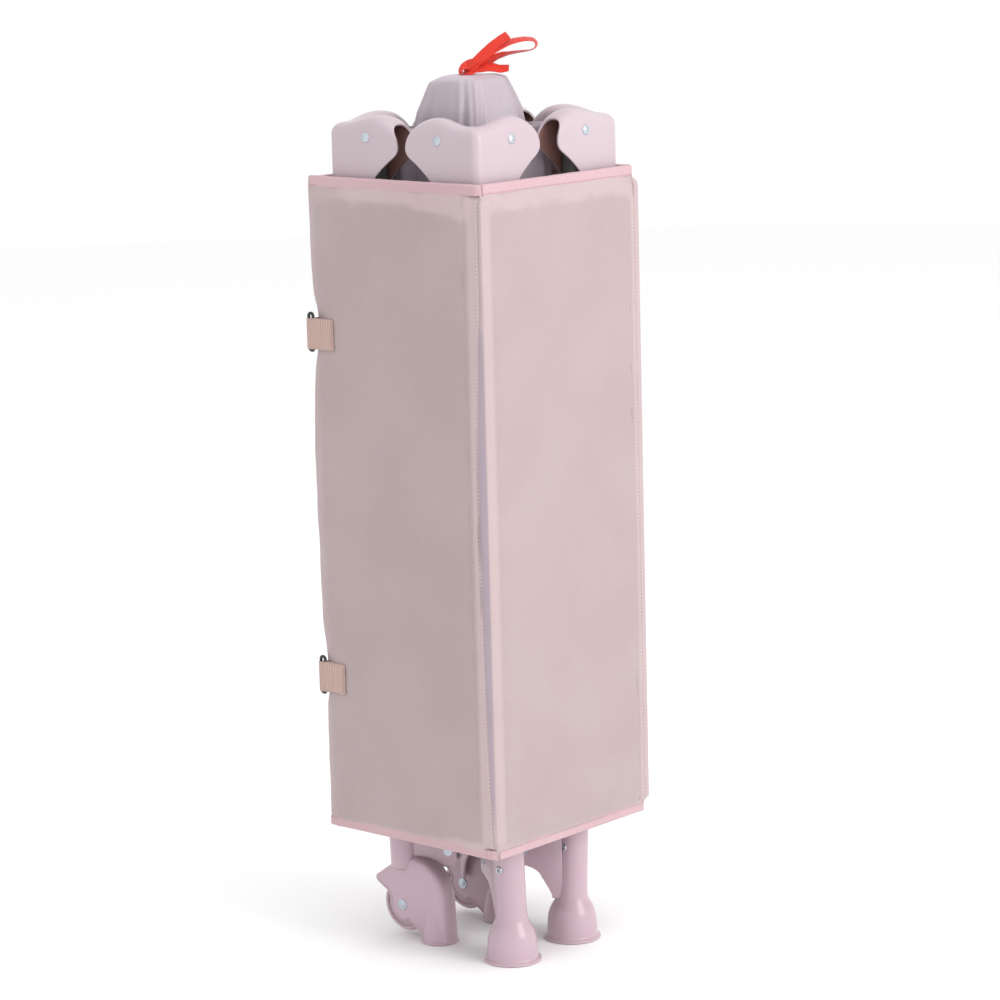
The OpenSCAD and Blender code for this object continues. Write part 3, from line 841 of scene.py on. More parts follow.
def hood_mesh():
    """The hood, thick across X, with a broad round over its top and its front."""
    steps = [0, 0.03, 0.08, 0.15, 0.25, 0.4, 0.6, 0.75, 0.85, 0.92, 0.97, 1]
    layers = []
    for t in steps:
        side = abs(2 * t - 1) * CHEEK
        over = max(0.0, side - (CHEEK - 7))
        layers.append((CHEEK * (2 * t - 1), fender_outline(7 - math.sqrt(max(0.0, 49 - over * over)))))
    count = len(layers[0][1])

    def place(u, v):
        x, outline = layers[int(round(v * (len(layers) - 1)))]
        y, z = outline[int(round(u * count)) % count]
        return mm(x, y, z)
    bm = bent_grid(count, len(layers) - 1, place, closed=True)
    bmesh.ops.holes_fill(bm, edges=[e for e in bm.edges if e.is_boundary])
    bmesh.ops.recalc_face_normals(bm, faces=bm.faces)
    return bm


def rod_mesh(points, radius, sides=10):
    """A round bar along points in millimetres."""
    spine = [mm(*p) for p in points]

    def place(u, v):
        i = min(len(spine) - 2, int(v * (len(spine) - 1)))
        f = v * (len(spine) - 1) - i
        here = spine[i].lerp(spine[i + 1], f)
        before = spine[max(0, i - 1)] if f < 0.5 else spine[i]
        after = spine[i + 1] if f < 0.5 else spine[min(len(spine) - 1, i + 2)]
        line = (after - before).normalized()
        side = line.orthogonal() if abs(line.x) > 0.9 else line.cross(Vector((1, 0, 0)))
        side = side.normalized()
        lift = line.cross(side)
        angle = 2 * math.pi * u
        return here + (side * math.cos(angle) + lift * math.sin(angle)) * radius * MM
    bm = bent_grid(sides, (len(spine) - 1) * 2, place, closed=True)
    bmesh.ops.holes_fill(bm, edges=[e for e in bm.edges if e.is_boundary])
    bmesh.ops.recalc_face_normals(bm, faces=bm.faces)
    return bm


def make_wheel_foot(corner, node):
    fx, fy = FOOT_CENTRE[corner]
    hood = hood_mesh()
    move(hood, Matrix.Translation(mm(fx, AXLE_Y, 0)))
    foot = new_object("hooded_" + node, hood)
    cutter = bmesh.new()
    bmesh.ops.create_cone(
        cutter, cap_ends=True, segments=64, radius1=(WHEEL_R + 2.5) * MM, radius2=(WHEEL_R + 2.5) * MM,
        depth=(WHEEL_T + 1.2) * MM)
    move(cutter, Matrix.Translation(mm(fx, AXLE_Y, AXLE_Z)) @ Matrix.Rotation(math.pi / 2, 4, "Y"))
    tool = new_object("wheel_space", cutter)
    add_modifier(foot, "BOOLEAN", operation="DIFFERENCE", object=tool, solver="EXACT")
    apply_modifiers(foot)
    bpy.data.objects.remove(tool)
    bm = bmesh.new()
    bm.from_mesh(foot.data)
    base = spun([
        (0, 0), (16.4, 0), (17.3, 0.6), (17.6, 1.6), (17.0, 2.6), (15.9, 3.4), (15.4, 6), (14.4, 14),
        (12.6, 24), (10.6, 34), (8, 42), (0, 46)], 48)
    move(base, Matrix.Translation(mm(fx, AXLE_Y - 36, 0)))
    join_into(bm, base)
    sleeve = spun([(0, 66), (13.2, 66), (14.0, 68), (14.0, 126), (12.9, 126), (12.9, 90), (0, 90)], 40)
    move(sleeve, Matrix.Translation(mm(fx, fy, 0)))
    lean_with(sleeve, corner, 30)
    join_into(bm, sleeve)
    join_into(bm, clevis_web(corner, 39))
    rim = [(-30, 2.5), (-24, 8), (-14, 14.5), (-6, 19)] + arc_points((0, AXLE_Z), 14, -105, 20, 8)
    rim += [(18, 42.5), (24, 46), (31, 50)]
    for side in SIDES:
        bead = rod_mesh([(fx + side * (CHEEK - 0.4), AXLE_Y + y, z) for y, z in rim], 1.1)
        join_into(bm, bead)
    bm.to_mesh(foot.data)
    bm.free()
    for face in foot.data.polygons:
        face.use_smooth = True
    finish_piece(foot, "frame", FOOT, [node])
    smooth_by_angle(foot, 40)


def smooth_by_angle(obj, degrees):
    """Keeps edges sharper than an angle crisp."""
    bm = bmesh.new()
    bm.from_mesh(obj.data)
    for edge in bm.edges:
        edge.smooth = not (edge.is_manifold and edge.calc_face_angle() > math.radians(degrees))
    bm.to_mesh(obj.data)
    bm.free()


def make_wheel(side):
    r, half = WHEEL_R, WHEEL_T / 2
    profile = [(3.1, -half), (6, -half), (6.5, -half + 1.5)]
    profile += [(r - 5, -half + 1.5), (r - 4, -half), (r - 1.6, -half)]
    for z in (-4.6, -1.6, 1.4, 4.4):
        profile += [(r - 0.2, z - 1.1), (r, z - 0.8), (r, z + 0.9)]
        profile += [(r - 0.2, z + 1.2), (r - 1.3, z + 1.4), (r - 1.3, z + 1.7)]
    profile += [(r - 1.6, half), (r - 4, half), (r - 5, half - 1.5)]
    profile += [(6.5, half - 1.5), (6, half), (3.1, half), (3.1, -half)]
    bm = spun(profile, 72)
    low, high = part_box("wheel_" + side)
    move(bm, Matrix.Translation((low + high) / 2) @ Matrix.Rotation(math.pi / 2, 4, "Y"))
    wheel = new_object("grooved_wheel_" + side, bm)
    finish_piece(wheel, "wheel_" + side, WHEEL, ["wheel_" + side])
    smooth_by_angle(wheel, 45)


def make_axles():
    bm = bmesh.new()
    for side in ("left", "right"):
        low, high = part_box("wheel_" + side)
        rivet_between(bm, (low + high) / 2 / MM, Vector((1, 0, 0)), 2 * CHEEK, 5.4)
    finish_piece(new_object("wheel_pins", bm), "frame", ZINC, ["wheel_axles"])


for corner_name, (side_x, side_y) in CORNERS.items():
    make_cap(corner_name, side_x, side_y)
make_rail_rivets()
make_plain_foot("front_left", "foot_left")
make_plain_foot("front_right", "foot_right")
make_eyelets()
make_wheel_foot("rear_left", "wheel_foot_left")
make_wheel_foot("rear_right", "wheel_foot_right")
for side_name in ("left", "right"):
    make_wheel(side_name)
make_axles()


# ---- mattress panels ----

LEFT_X, REAR_Y, FRONT_Y = LEFT_LOW.x / MM, REAR_HIGH.y / MM, FRONT_LOW.y / MM
RIGHT_X = -LEFT_X
PAD_LOW, PAD_HIGH = FRONT_LOW.z / MM, FRONT_HIGH.z / MM
STRAP_Z = (256, 572)
EDGE_IN = 3.4
EDGE_T = 5.0
# How far in from each end of a panel's pad its board starts
BOARD_INSETS = {"front": (5, 6), "left": (5, 11), "right": (6, 6), "rear": (12, 5)}
# Each panel: a corner of its outer face, the way along, the way out, and its length and end margins
PANELS = {
    "front": ((-102, FRONT_Y), (1, 0), (0, -1), 204, 8, 8),
    "left": ((LEFT_X, -88), (0, 1), (-1, 0), 108 + 88, 6, 14),
    "right": ((RIGHT_X, -90), (0, 1), (1, 0), 184, 6, 6),
    "rear": ((-103.5, REAR_Y), (1, 0), (0, 1), 194, 9, 5),
}


def free_edge(panel, z):
    """How far a panel's free edge is drawn in, at a height."""
    if panel not in ("left", "rear"):
        return 0.0
    if panel == "rear":
        return 0.5 + 0.5 * wave(z / 45, 3, 0, 4)
    drawn = sum(6.5 * math.exp(-(abs(z - s) / 34) ** 1.7) for s in STRAP_Z)
    bulge = ramp([(112, 3), (180, 2.5), (256, 1), (400, -1), (470, -1.5), (572, 2.5), (640, 1), (712, 2)], z)
    return drawn + bulge + 1.1 * wave(z / 40, 3, 0, 4) + 0.6 * wave(z / 13, 7, 0, 4)


def pad_depth(panel, a, z):
    """How far the outer face lies in from the panel's outer plane."""
    length, start, end = PANELS[panel][3:]
    top = 25 + 3 * wave(a / 40, 1, 0, length)
    bottom = 12 + 1.5 * wave(a / 30, 5, 0, length)
    slopes = [
        1 - a / start, 1 - (length - a) / end,
        1 - (PAD_HIGH - z - 8) / (top - 8), 1 - (z - PAD_LOW - 8) / (bottom - 6),
    ]
    slope = sum(min(1.0, max(0.0, s)) ** 3 for s in slopes) ** (1 / 3)
    depth = EDGE_IN * min(1.0, slope) ** 1.15
    near_top = math.exp(-(PAD_HIGH - z - 10) / 15) * ease((PAD_HIGH - z - 9) / 4)
    near_low = math.exp(-(z - PAD_LOW - 10) / 8) * ease((z - PAD_LOW - 9) / 4)
    depth += 1.5 * wave(a / 7.0, z / 60, 0, length) * near_top
    depth += 0.6 * wave(a / 9, z / 40, 2, length) * near_low
    depth += 0.22 * wave(a / 70, z / 38, 4, length) + 0.1 * wave(a / 24, z / 18, 6, length)
    if panel == "left":
        from_edge = length - a
        for s in STRAP_Z:
            fan = math.atan2(z - s, from_edge + 14)
            fade = math.exp(-from_edge / 26) * math.exp(-((z - s) / 48) ** 2)
            depth += 0.9 * math.sin(fan * 13 + 0.6) * fade
    return depth


def board_behind(panel, a, z):
    """1 where the board lies under the cloth and 0 out at the seams: the amount of painted shade on the
    cover.
    """
    length = PANELS[panel][3]
    wobble = 3.5 * wave(a / 16, z / 90, 0, length) + 1.5 * wave(a / 6, z / 6, 2, length)
    if panel == "left":
        wobble += 9 * ease((90 - a) / 75) - 4
    left, right = BOARD_INSETS[panel]
    sides = min(a - left, length - a - right) + 1.5 * wave(3, z / 60, 0, length)
    ends = min(PAD_HIGH - z - 24 - wobble, z - PAD_LOW - 11 - wobble * 0.4)
    inside = -math.log(math.exp(-sides / 5) + math.exp(-ends / 5)) * 5 if min(sides, ends) > -60 else -60
    least = 0.4 if panel == "front" else 0.05
    if panel == "left":
        least += 0.5 * ease((a - 120) / 60)
    return least + (1 - least) * ease((inside + 4) / 8)


def pad_point(panel, u, v, depth_of):
    corner, line, out, length = PANELS[panel][:4]
    z = PAD_LOW + (PAD_HIGH - PAD_LOW) * v
    drawn = free_edge(panel, z)
    first = drawn if panel == "rear" else 0
    last = length - (drawn if panel == "left" else 0)
    a = first + (last - first) * u
    depth = depth_of(length * u, z)
    return mm(corner[0] + line[0] * a - out[0] * depth, corner[1] + line[1] * a - out[1] * depth, z)


def settle(obj, rest, held, limits, out):
    """Lets the cover's cloth fill out over its wadding, and keeps it within its limits."""
    group = obj.vertex_groups.new(name="held")
    group.add(held, 1.0, "REPLACE")
    cloth = obj.modifiers.new("cloth", "CLOTH")
    cloth.settings.vertex_group_mass = "held"
    cloth.settings.quality = 4
    cloth.settings.mass = 0.15
    cloth.settings.air_damping = 4
    cloth.settings.tension_stiffness = 14
    cloth.settings.compression_stiffness = 14
    cloth.settings.bending_stiffness = 0.3
    cloth.settings.shrink_min = -0.008
    cloth.settings.use_pressure = True
    cloth.settings.uniform_pressure_force = 1.2
    cloth.settings.effector_weights.gravity = 0
    cloth.point_cache.frame_start = 1
    cloth.point_cache.frame_end = 18
    for step in range(1, 19):
        bpy.context.scene.frame_set(step)
    depsgraph = bpy.context.evaluated_depsgraph_get()
    seen = obj.evaluated_get(depsgraph).data
    moved = [v.co.copy() for v in seen.vertices]
    obj.modifiers.clear()
    obj.vertex_groups.clear()
    bpy.context.scene.frame_set(1)
    for vert, base, now, limit in zip(obj.data.vertices, rest, moved, limits):
        shift = (now - base).dot(out)
        if math.isfinite(shift):
            vert.co = base + out * max(-limit, min(limit, shift))


# Painted shade: each pad's outer face gets a value that deepens the cloth's colour where its board lies under
# it.
def paint_board_shade(pad, panel):
    corner, line, out = PANELS[panel][:3]
    values = []
    for vert in pad.data.vertices:
        offset = vert.co / MM - Vector((*corner, 0))
        a = offset.x * line[0] + offset.y * line[1]
        outside = -(offset.x * out[0] + offset.y * out[1]) < EDGE_IN + 2
        values.append(board_behind(panel, a, vert.co.z / MM) if outside else 0.4)
    layer = pad.data.attributes.new("behind", "FLOAT", "POINT")
    layer.data.foreach_set("value", values)


def make_pad(panel):
    corner, line, out, length = PANELS[panel][:4]
    across, upward = round(length / 5.5), 108
    outer = bent_grid(
        across, upward, lambda u, v: pad_point(panel, u, v, lambda a, z: pad_depth(panel, a, z)))

    def inner_depth(a, z):
        rim = min(a, length - a, z - PAD_LOW - 7, PAD_HIGH - z - 7)
        flap = ease((a - 176) / 7) if panel == "left" else 0
        full = EDGE_T + (9.7 - EDGE_IN - EDGE_T) * ease(rim / 10)
        return EDGE_IN + full * (1 - 0.85 * flap) + 0.15 * wave(a / 40, z / 40, 9)
    join_into(outer, bent_grid(across, upward, lambda u, v: pad_point(panel, u, v, inner_depth)))
    rims = [e for e in outer.edges if e.is_boundary]
    bmesh.ops.bridge_loops(outer, edges=rims)
    bmesh.ops.recalc_face_normals(outer, faces=outer.faces)
    pad = new_object("mattress_panel_" + panel, outer)
    # Painted shade over the board, stored on the pad for its material.
    paint_board_shade(pad, panel)
    outward = Vector((*out, 0))
    rest = [v.co.copy() for v in pad.data.vertices]
    plane = Vector((*corner, 0)) * MM
    held = []
    limits = []
    for i, co in enumerate(rest):
        depth = -(co - plane).dot(outward) / MM
        a = (co - plane).dot(Vector((*line, 0))) / MM
        z = co.z / MM
        rim = min(a, length - a, z - PAD_LOW, PAD_HIGH - z)
        if rim < 3 or min(z - PAD_LOW, PAD_HIGH - z) < 11 or depth > EDGE_IN + 2:
            held.append(i)
        limits.append((0.45 if rim > 26 else 0.8) * MM)
    settle(pad, rest, held, limits, outward)
    smoother(pad)
    finish_piece(pad, "panel_" + panel, COVER, ["cover_" + panel])
    return pad


# ---- hinge strips, tapes and stitches ----

def seam_drift(z):
    """How far the seam at the near corner wanders onto the left panel, at a height."""
    return ramp([(112, 0.5), (150, 2), (230, 5), (400, 7.5), (500, 6.5), (575, 3.5), (600, 0.8), (712, 0)], z)


def end_pull(z):
    """How far the strips sink under the tapes at their ends."""
    return max(4.2 * ease((z - PAD_HIGH + 16) / 8), 3.6 * ease((PAD_LOW + 14 - z) / 6.5))


def near_corner(z):
    m = seam_drift(z)
    swell = 0.45 * wave(z / 30, 2)
    pull = end_pull(z)
    return [
        (-92, FRONT_Y + 0.5 + pull), (-96, FRONT_Y - 0.1 + pull), (-102, FRONT_Y + 0.1 + pull + swell),
        (-105.6 + pull * 0.8, FRONT_Y + 0.8 + pull * 1.2), (-106.6 + pull * 1.2, -99.3 + pull),
        (-106.6 + pull * 1.2, -98.2 + pull * 0.85 + m * 0.5), (-105.5 + pull * 0.9, -97.0 + pull * 0.65 + m),
        (-106.2 + pull, -96.0 + pull * 0.5 + m), (-106.4 + pull, -92.5 + m * 0.5 + swell),
        (LEFT_X + 1.2 + pull - swell, -88.5 + m * 0.3), (LEFT_X - 0.3 + pull, -83.5),
        (LEFT_X + 0.6 + pull, -79.5),
    ]


def end_tuck(z):
    """How far a strip's long edges sink into the pads, where those thin out towards the top tape."""
    return max(end_pull(z), 4.6 * ease((z - PAD_HIGH + 34) / 20))


def right_corner(z):
    pull = end_pull(z)
    tuck = end_tuck(z)
    swell = 0.3 * wave(z / 26, 8)
    return [
        (92, FRONT_Y + 0.5 + tuck), (95, FRONT_Y - 0.2 + tuck),
        (98.6, FRONT_Y - 0.25 + max(pull, tuck * 0.55)),
        (99.6, FRONT_Y + 0.55 + max(pull, tuck * 0.3)), (100.6, FRONT_Y - 0.2 + pull),
        (104.5 - pull * 0.6, FRONT_Y + 0.1 + pull * 1.1 + swell),
        (107.8 - pull * 1.2, FRONT_Y + 1.6 + pull * 1.1),
        (RIGHT_X + 1.2 - pull * 1.2, -96 + pull * 0.6 + swell), (RIGHT_X + 0.5 - max(pull, tuck * 0.55), -88),
        (RIGHT_X + 0.2 - tuck, -84), (RIGHT_X - 0.5 - tuck, -80),
    ]


def back_corner(z):
    pull = end_pull(z)
    tuck = end_tuck(z)
    swell = 0.3 * wave(z / 31, 12)
    return [
        (RIGHT_X - 0.5 - tuck, 84), (RIGHT_X + 0.25 - tuck, 88), (RIGHT_X + 0.3 - pull, 94 + swell),
        (RIGHT_X - 0.5 - pull * 1.2, 99.4 - pull * 0.8), (RIGHT_X - 3.4 - pull, REAR_Y - 0.4 - pull * 1.2),
        (102, REAR_Y - 0.2 - pull), (99.6, REAR_Y - 1.0 - pull), (98.2, REAR_Y - 0.1 - pull),
        (92, REAR_Y + 0.25 - max(pull, tuck * 0.55)), (87, REAR_Y + 0.2 - tuck), (83, REAR_Y - 0.5 - tuck),
    ]


def on_path(points, t):
    """A point on a smooth line through points, with t from 0 to 1."""
    span_t = t * (len(points) - 1)
    i = min(int(span_t), len(points) - 2)
    f = span_t - i
    p = [Vector(points[max(0, min(len(points) - 1, i + k))]) for k in (-1, 0, 1, 2)]
    return 0.5 * (
        2 * p[1] + (p[2] - p[0]) * f + (2 * p[0] - 5 * p[1] + 4 * p[2] - p[3]) * f * f
        + (3 * p[1] - p[0] - 3 * p[2] + p[3]) * f * f * f)


def strip_painted_light(name, u, z):
    """Painted shade on a hinge strip toward each board's edge, and a painted violet sheen in its flat band,
    given as negative values.
    """
    step = u * (11 if name == "left" else 10)
    if name == "left":
        band = ease((step - 3.7) / 0.5) * ease((6.3 - step) / 0.5) * ease((seam_drift(z) - 1.2) / 2)
        if band > 0.02:
            return -band
        if step > 5:
            board = board_behind("left", 14, z)
            return 0.15 + (board - 0.15) * ease((step - 8.8) / 1.7)
    margin = 0.42 if name != "back" else 0.1
    front = board_behind("front", 14, z)
    return margin + (front - margin) * ease((1.6 - step) / 1.5) if step < 5 else margin


def make_hinge(name, section, bodies, start, end, core):
    low, high = PAD_LOW + 2, PAD_HIGH - 2

    def place(u, v):
        z = low + (high - low) * v
        x, y = on_path(section(z), u)
        return mm(x, y, z)
    bm = bent_grid(44, 150, place)
    outward_from(bm, mm(core[0], core[1], 400))
    strip = new_object("hinge_strip_" + name, bm)
    # Painted shade and painted sheen values, read by the cover's material.
    painted_light = strip.data.attributes.new("behind", "FLOAT", "POINT")
    layer = strip.data.uv_layers[0].data
    values = [0.0] * len(strip.data.vertices)
    for loop in strip.data.loops:
        u, v = layer[loop.index].uv
        values[loop.vertex_index] = strip_painted_light(name, u, low + (high - low) * v)
    painted_light.data.foreach_set("value", values)
    thicken(strip, 0.6 * MM)
    apply_modifiers(strip)
    strip.data.materials.clear()
    strip.data.materials.append(COVER)
    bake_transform(strip)


HINGES = {
    "left": (near_corner, ("panel_front", "panel_left"), (-105, -99.5, 400), (-107.5, -90, 400), (-90, -85)),
    "right": (right_corner, ("panel_front", "panel_right"), (104, -99.5, 400), (107.5, -92, 400), (90, -85)),
    "back": (back_corner, ("panel_right", "panel_rear"), (107.5, 95, 400), (103, 100.5, 400), (90, 85)),
}


def tape_section(u):
    """Across a folded tape: the offset from its middle, and the distance in from its edge."""
    half = EDGE_T / 2 + 0.55
    points = [
        (-half, TAPE_H / MM), (-half - 0.25, 8.3), (-half + 0.1, 5), (-half - 0.05, 2.2), (-half + 0.7, 0.6),
        (0, 0),
        (half - 0.7, 0.6), (half + 0.05, 2.2), (half - 0.1, 5), (half + 0.25, 8.3), (half, TAPE_H / MM),
    ]
    return on_path(points, u)


def tape_mesh(path, edge_z, up, seed):
    """A folded tape along a plan path, over an edge that faces up or down."""
    lengths = [0.0]
    for p, q in zip(path, path[1:]):
        lengths.append(lengths[-1] + (Vector(q) - Vector(p)).length)
    total = lengths[-1]

    def place(u, v):
        s = v * total
        here = point_along(path, lengths, s)
        ahead = point_along(path, lengths, min(total, s + 1.5)) - point_along(path, lengths, max(0, s - 1.5))
        side = Vector((ahead.y, -ahead.x)).normalized()
        off, down = tape_section(u)
        free = 1 - abs(2 * u - 1)
        pucker = 0.28 * wave(s / 3.2, u * 2, 0, seed) + 0.3 * wave(s / 11, u, 3, seed)
        x, y = here + side * (off + pucker * (0.4 + 0.6 * free))
        sag = 0.35 * wave(s / 16, 1, 0, seed + 4)
        return mm(x, y, edge_z - up * (down + sag * (0.5 + 0.5 * free)))
    bm = bent_grid(20, max(6, round(total / 2.0)), place)
    middle = point_along(path, lengths, total / 2)
    outward_from(bm, mm(middle.x, middle.y, edge_z - up * 6))
    return bm


def point_along(path, lengths, s):
    for i in range(len(path) - 1):
        if s <= lengths[i + 1] or i == len(path) - 2:
            f = (s - lengths[i]) / max(1e-6, lengths[i + 1] - lengths[i])
            return Vector(path[i]).lerp(Vector(path[i + 1]), min(1.0, max(0.0, f)))


MID = EDGE_IN + EDGE_T / 2
TAPE_PATHS = {
    "front": [(-101, FRONT_Y + MID), (101, FRONT_Y + MID)],
    "left": [(LEFT_X + MID, 105), (LEFT_X + MID, 95), (LEFT_X + MID, -88)],
    "right": [(RIGHT_X - MID, -88), (RIGHT_X - MID, 92)],
    "rear": [(94, REAR_Y - MID), (REAR_LOW.x / MM + 2.5, REAR_Y - MID)],
}


def corner_path(sx, sy, first, last):
    """A rounded corner in plan from the front or rear panel's line to a side panel's line."""
    cx, cy, r = sx * (RIGHT_X - MID), sy * (REAR_Y - MID), 4.5
    points = [(first, cy)]
    points += [
        (cx - sx * r * (1 - math.sin(t)), cy - sy * r * (1 - math.cos(t)))
        for t in (math.pi / 2 * i / 6 for i in range(7))]
    points.append((cx, last))
    return points


TAPE_CORNERS = {
    "left": corner_path(-1, -1, -99, -86),
    "right": corner_path(1, -1, 99, -86),
    "back": corner_path(1, 1, 92, 90),
}
EDGES = {"top": (WRAP_HIGH / MM, 1), "low": (WRAP_LOW / MM, -1)}


def finish_tape(bm, name, body, stands_for=()):
    tape = new_object(name, bm)
    thicken(tape, 0.5 * MM)
    apply_modifiers(tape)
    tape.data.materials.clear()
    tape.data.materials.append(TAPE)
    if body:
        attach(tape, body)
        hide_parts(*stands_for)
    return tape


def make_tapes():
    for panel, path in TAPE_PATHS.items():
        bm = bmesh.new()
        for z, up in EDGES.values():
            join_into(bm, tape_mesh(path, z, up, len(panel) + up))
        finish_tape(bm, "edge_tape_" + panel, "panel_" + panel, ["binding_" + panel])
    for corner, path in TAPE_CORNERS.items():
        bm = bmesh.new()
        for z, up in EDGES.values():
            join_into(bm, tape_mesh(path, z, up, len(corner) + 3 * up))
        tape = finish_tape(bm, "corner_tape_" + corner, None)
        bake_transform(tape)


def stitch(bm, here, line, out, length, width):
    line = line.normalized()
    side = line.cross(out).normalized()
    lift = side.cross(line)
    turn = Matrix((line, side, lift)).transposed().to_4x4()
    size = Matrix.Diagonal((length / 2, width / 2, width / 2.6, 1))
    bmesh.ops.create_icosphere(
        bm, subdivisions=1, radius=MM, matrix=Matrix.Translation(here * MM) @ turn @ size)


def stitch_run(bm, place, total, pitch=3.2, length=2.3, width=0.55):
    """Stitches along a line; place(s) gives the spot and the way out in millimetres."""
    for i in range(int(total / pitch)):
        s = (i + 0.5) * pitch
        here, out = place(s)
        ahead, _ = place(s + 0.4)
        stitch(bm, here, ahead - here, out, length, width)


def make_tape_stitches():
    for panel, path in TAPE_PATHS.items():
        start, end = Vector(path[0]), Vector(path[1])
        line = (end - start).normalized()
        out = Vector(PANELS[panel][2])
        bm = bmesh.new()
        for z, up in EDGES.values():
            for face in SIDES:
                off = out * face * (EDGE_T / 2 + 1.15)

                def place(s):
                    spot = start + line * s + off
                    return Vector((*spot, z - up * 8.2)), Vector((*(out * face), 0))
                stitch_run(bm, place, (end - start).length)
        finish_piece(new_object("tape_stitches_" + panel, bm), "panel_" + panel, TAPE_THREAD)


def make_seam_stitches():
    for name, (section, bodies, start, end, core) in HINGES.items():
        t = {"left": 7.35 / 11, "right": 2.2 / 10, "back": 6.9 / 10}[name]
        bm = bmesh.new()
        middle = Vector((core[0], core[1], 0))

        def place(s):
            z = PAD_LOW + 9 + s
            x, y = on_path(section(z), t)
            out = (Vector((x, y, 0)) - middle).normalized()
            return Vector((x, y, z)) + out * 0.15, out
        stitch_run(bm, place, PAD_HIGH - PAD_LOW - 18, 3.4, 2.4, 0.5)
        thread = new_object("seam_stitches_" + name, bm)
        thread.data.materials.append(THREAD)
        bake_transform(thread)


for panel_name in PANELS:
    make_pad(panel_name)
for hinge_name, hinge in HINGES.items():
    make_hinge(hinge_name, *hinge)
make_tapes()
make_tape_stitches()
make_seam_stitches()
for panel_name in PANELS:
    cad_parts["board_" + panel_name].data.materials.clear()
    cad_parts["board_" + panel_name].data.materials.append(BOARD)


# ---- straps and rings ----

def band(path, width, across_steps=10, along_steps=60, wide=(0, 0, 1)):
    """A flat band along a path of points in millimetres, with its map in metres."""
    lengths = [0.0]
    for p, q in zip(path, path[1:]):
        lengths.append(lengths[-1] + (Vector(q) - Vector(p)).length)
    total = lengths[-1]
    side = Vector(wide)

    def place(u, v):
        return (on_path(path, v) + side * (u - 0.5) * width) * MM
    bm = bent_grid(across_steps, along_steps, place)
    layer = bm.loops.layers.uv.verify()
    for face in bm.faces:
        for loop in face.loops:
            uv = loop[layer].uv
            loop[layer].uv = (uv.x * width * MM, uv.y * total * MM)
    return bm


def make_straps():
    tab_low, tab_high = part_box("strap_tabs")
    end_low, end_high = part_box("strap_ends")
    tabs, ends = bmesh.new(), bmesh.new()
    thread = bmesh.new()
    x, y0, y1 = tab_low.x / MM, tab_low.y / MM, tab_high.y / MM
    for z in (s - 1.5 for s in STRAP_Z):
        path = [
            (x - 0.1, y0 + 1.5, z), (x - 0.35, y0 + 5, z), (x - 0.45, y0 + 12, z), (x - 0.7, y0 + 19, z),
            (x - 1.6, y1 - 3, z), (x - 2.3, y1 + 0.8, z), (x - 1.9, y1 + 3.9, z), (x - 0.2, y1 + 3.7, z),
            (x + 0.6, y1 + 0.8, z), (x + 0.3, y1 - 4, z), (x + 0.5, y0 + 16, z),
        ]
        join_into(tabs, band(path, 28))
        y = end_low.x / MM
        plane = (end_low.y + end_high.y) / 2 / MM + 0.3
        strip = [
            (y, plane - 0.2, z), (y + 10, plane + 0.35, z), (y + 25, plane + 0.1, z),
            (y + 42, plane + 0.4, z),
            (y + 53, plane + 0.1, z), (y + 60, plane - 0.3, z)]
        join_into(ends, band(strip, 28))
        for off in (3.2, 16.5):
            def place_tab(s):
                return Vector((x - 0.95, y0 + off, z - 12 + s)), Vector((-1, 0, 0))
            stitch_run(thread, place_tab, 24, 2.6, 1.9, 0.5)
    for bm, name, body, node in (
            (tabs, "strap_tab_webbing", "panel_left", "strap_tabs"),
            (ends, "strap_end_webbing", "panel_rear", "strap_ends")):
        straps = new_object(name, bm)
        thicken(straps, 0.9 * MM, 0)
        apply_modifiers(straps)
        finish_piece(straps, body, WEBBING, [node])
    finish_piece(new_object("strap_tab_stitches", thread), "panel_left", TAPE_THREAD)
    rings = bmesh.new()
    low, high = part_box("strap_rings")
    rx = (low.x + high.x) / 2 / MM
    ry0, ry1 = low.y / MM - 2.5, high.y / MM - 4.2
    for z in STRAP_Z:
        half = 16.8
        loop = [(ry0 + 1.5, z - half), (ry1 - 1.5, z - half), (ry1, z - half + 1.5), (ry1, z + half - 1.5)]
        loop += [(ry1 - 1.5, z + half), (ry0 + 1.5, z + half), (ry0, z + half - 1.5), (ry0, z - half + 1.5)]
        points = []
        for p, q in zip(loop, loop[1:] + loop[:1]):
            points += [Vector(p).lerp(Vector(q), k / 3) for k in range(3)]
        count = len(points)

        def place(u, v):
            i = int(round(v * count)) % count
            line = (points[(i + 1) % count] - points[i - 1]).normalized()
            out = Vector((line.y, -line.x))
            angle = 2 * math.pi * u
            off = out * 1.5 * math.cos(angle)
            return mm(rx + 1.3 * math.sin(angle), points[i].x + off.x, points[i].y + off.y)
        ring = bent_grid(12, count, place, closed=True)
        bmesh.ops.recalc_face_normals(ring, faces=ring.faces)
        join_into(rings, ring)
    finish_piece(new_object("strap_ring_frames", rings), "panel_left", RING, ["strap_rings"])


# ---- cloth inside the wrap ----

HUB_LOW, HUB_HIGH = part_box("hub")
HUB_X = (HUB_LOW.x + HUB_HIGH.x) / 2 / MM
HUB_Y = (HUB_LOW.y + HUB_HIGH.y) / 2 / MM
TENT_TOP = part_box("floor_fabric")[1].z / MM


# Metres of cloth along the folds of the two side cloths as modelled. The real ones are longer.
NET_GIRTH = 0.78
SATIN_GIRTH = 0.68


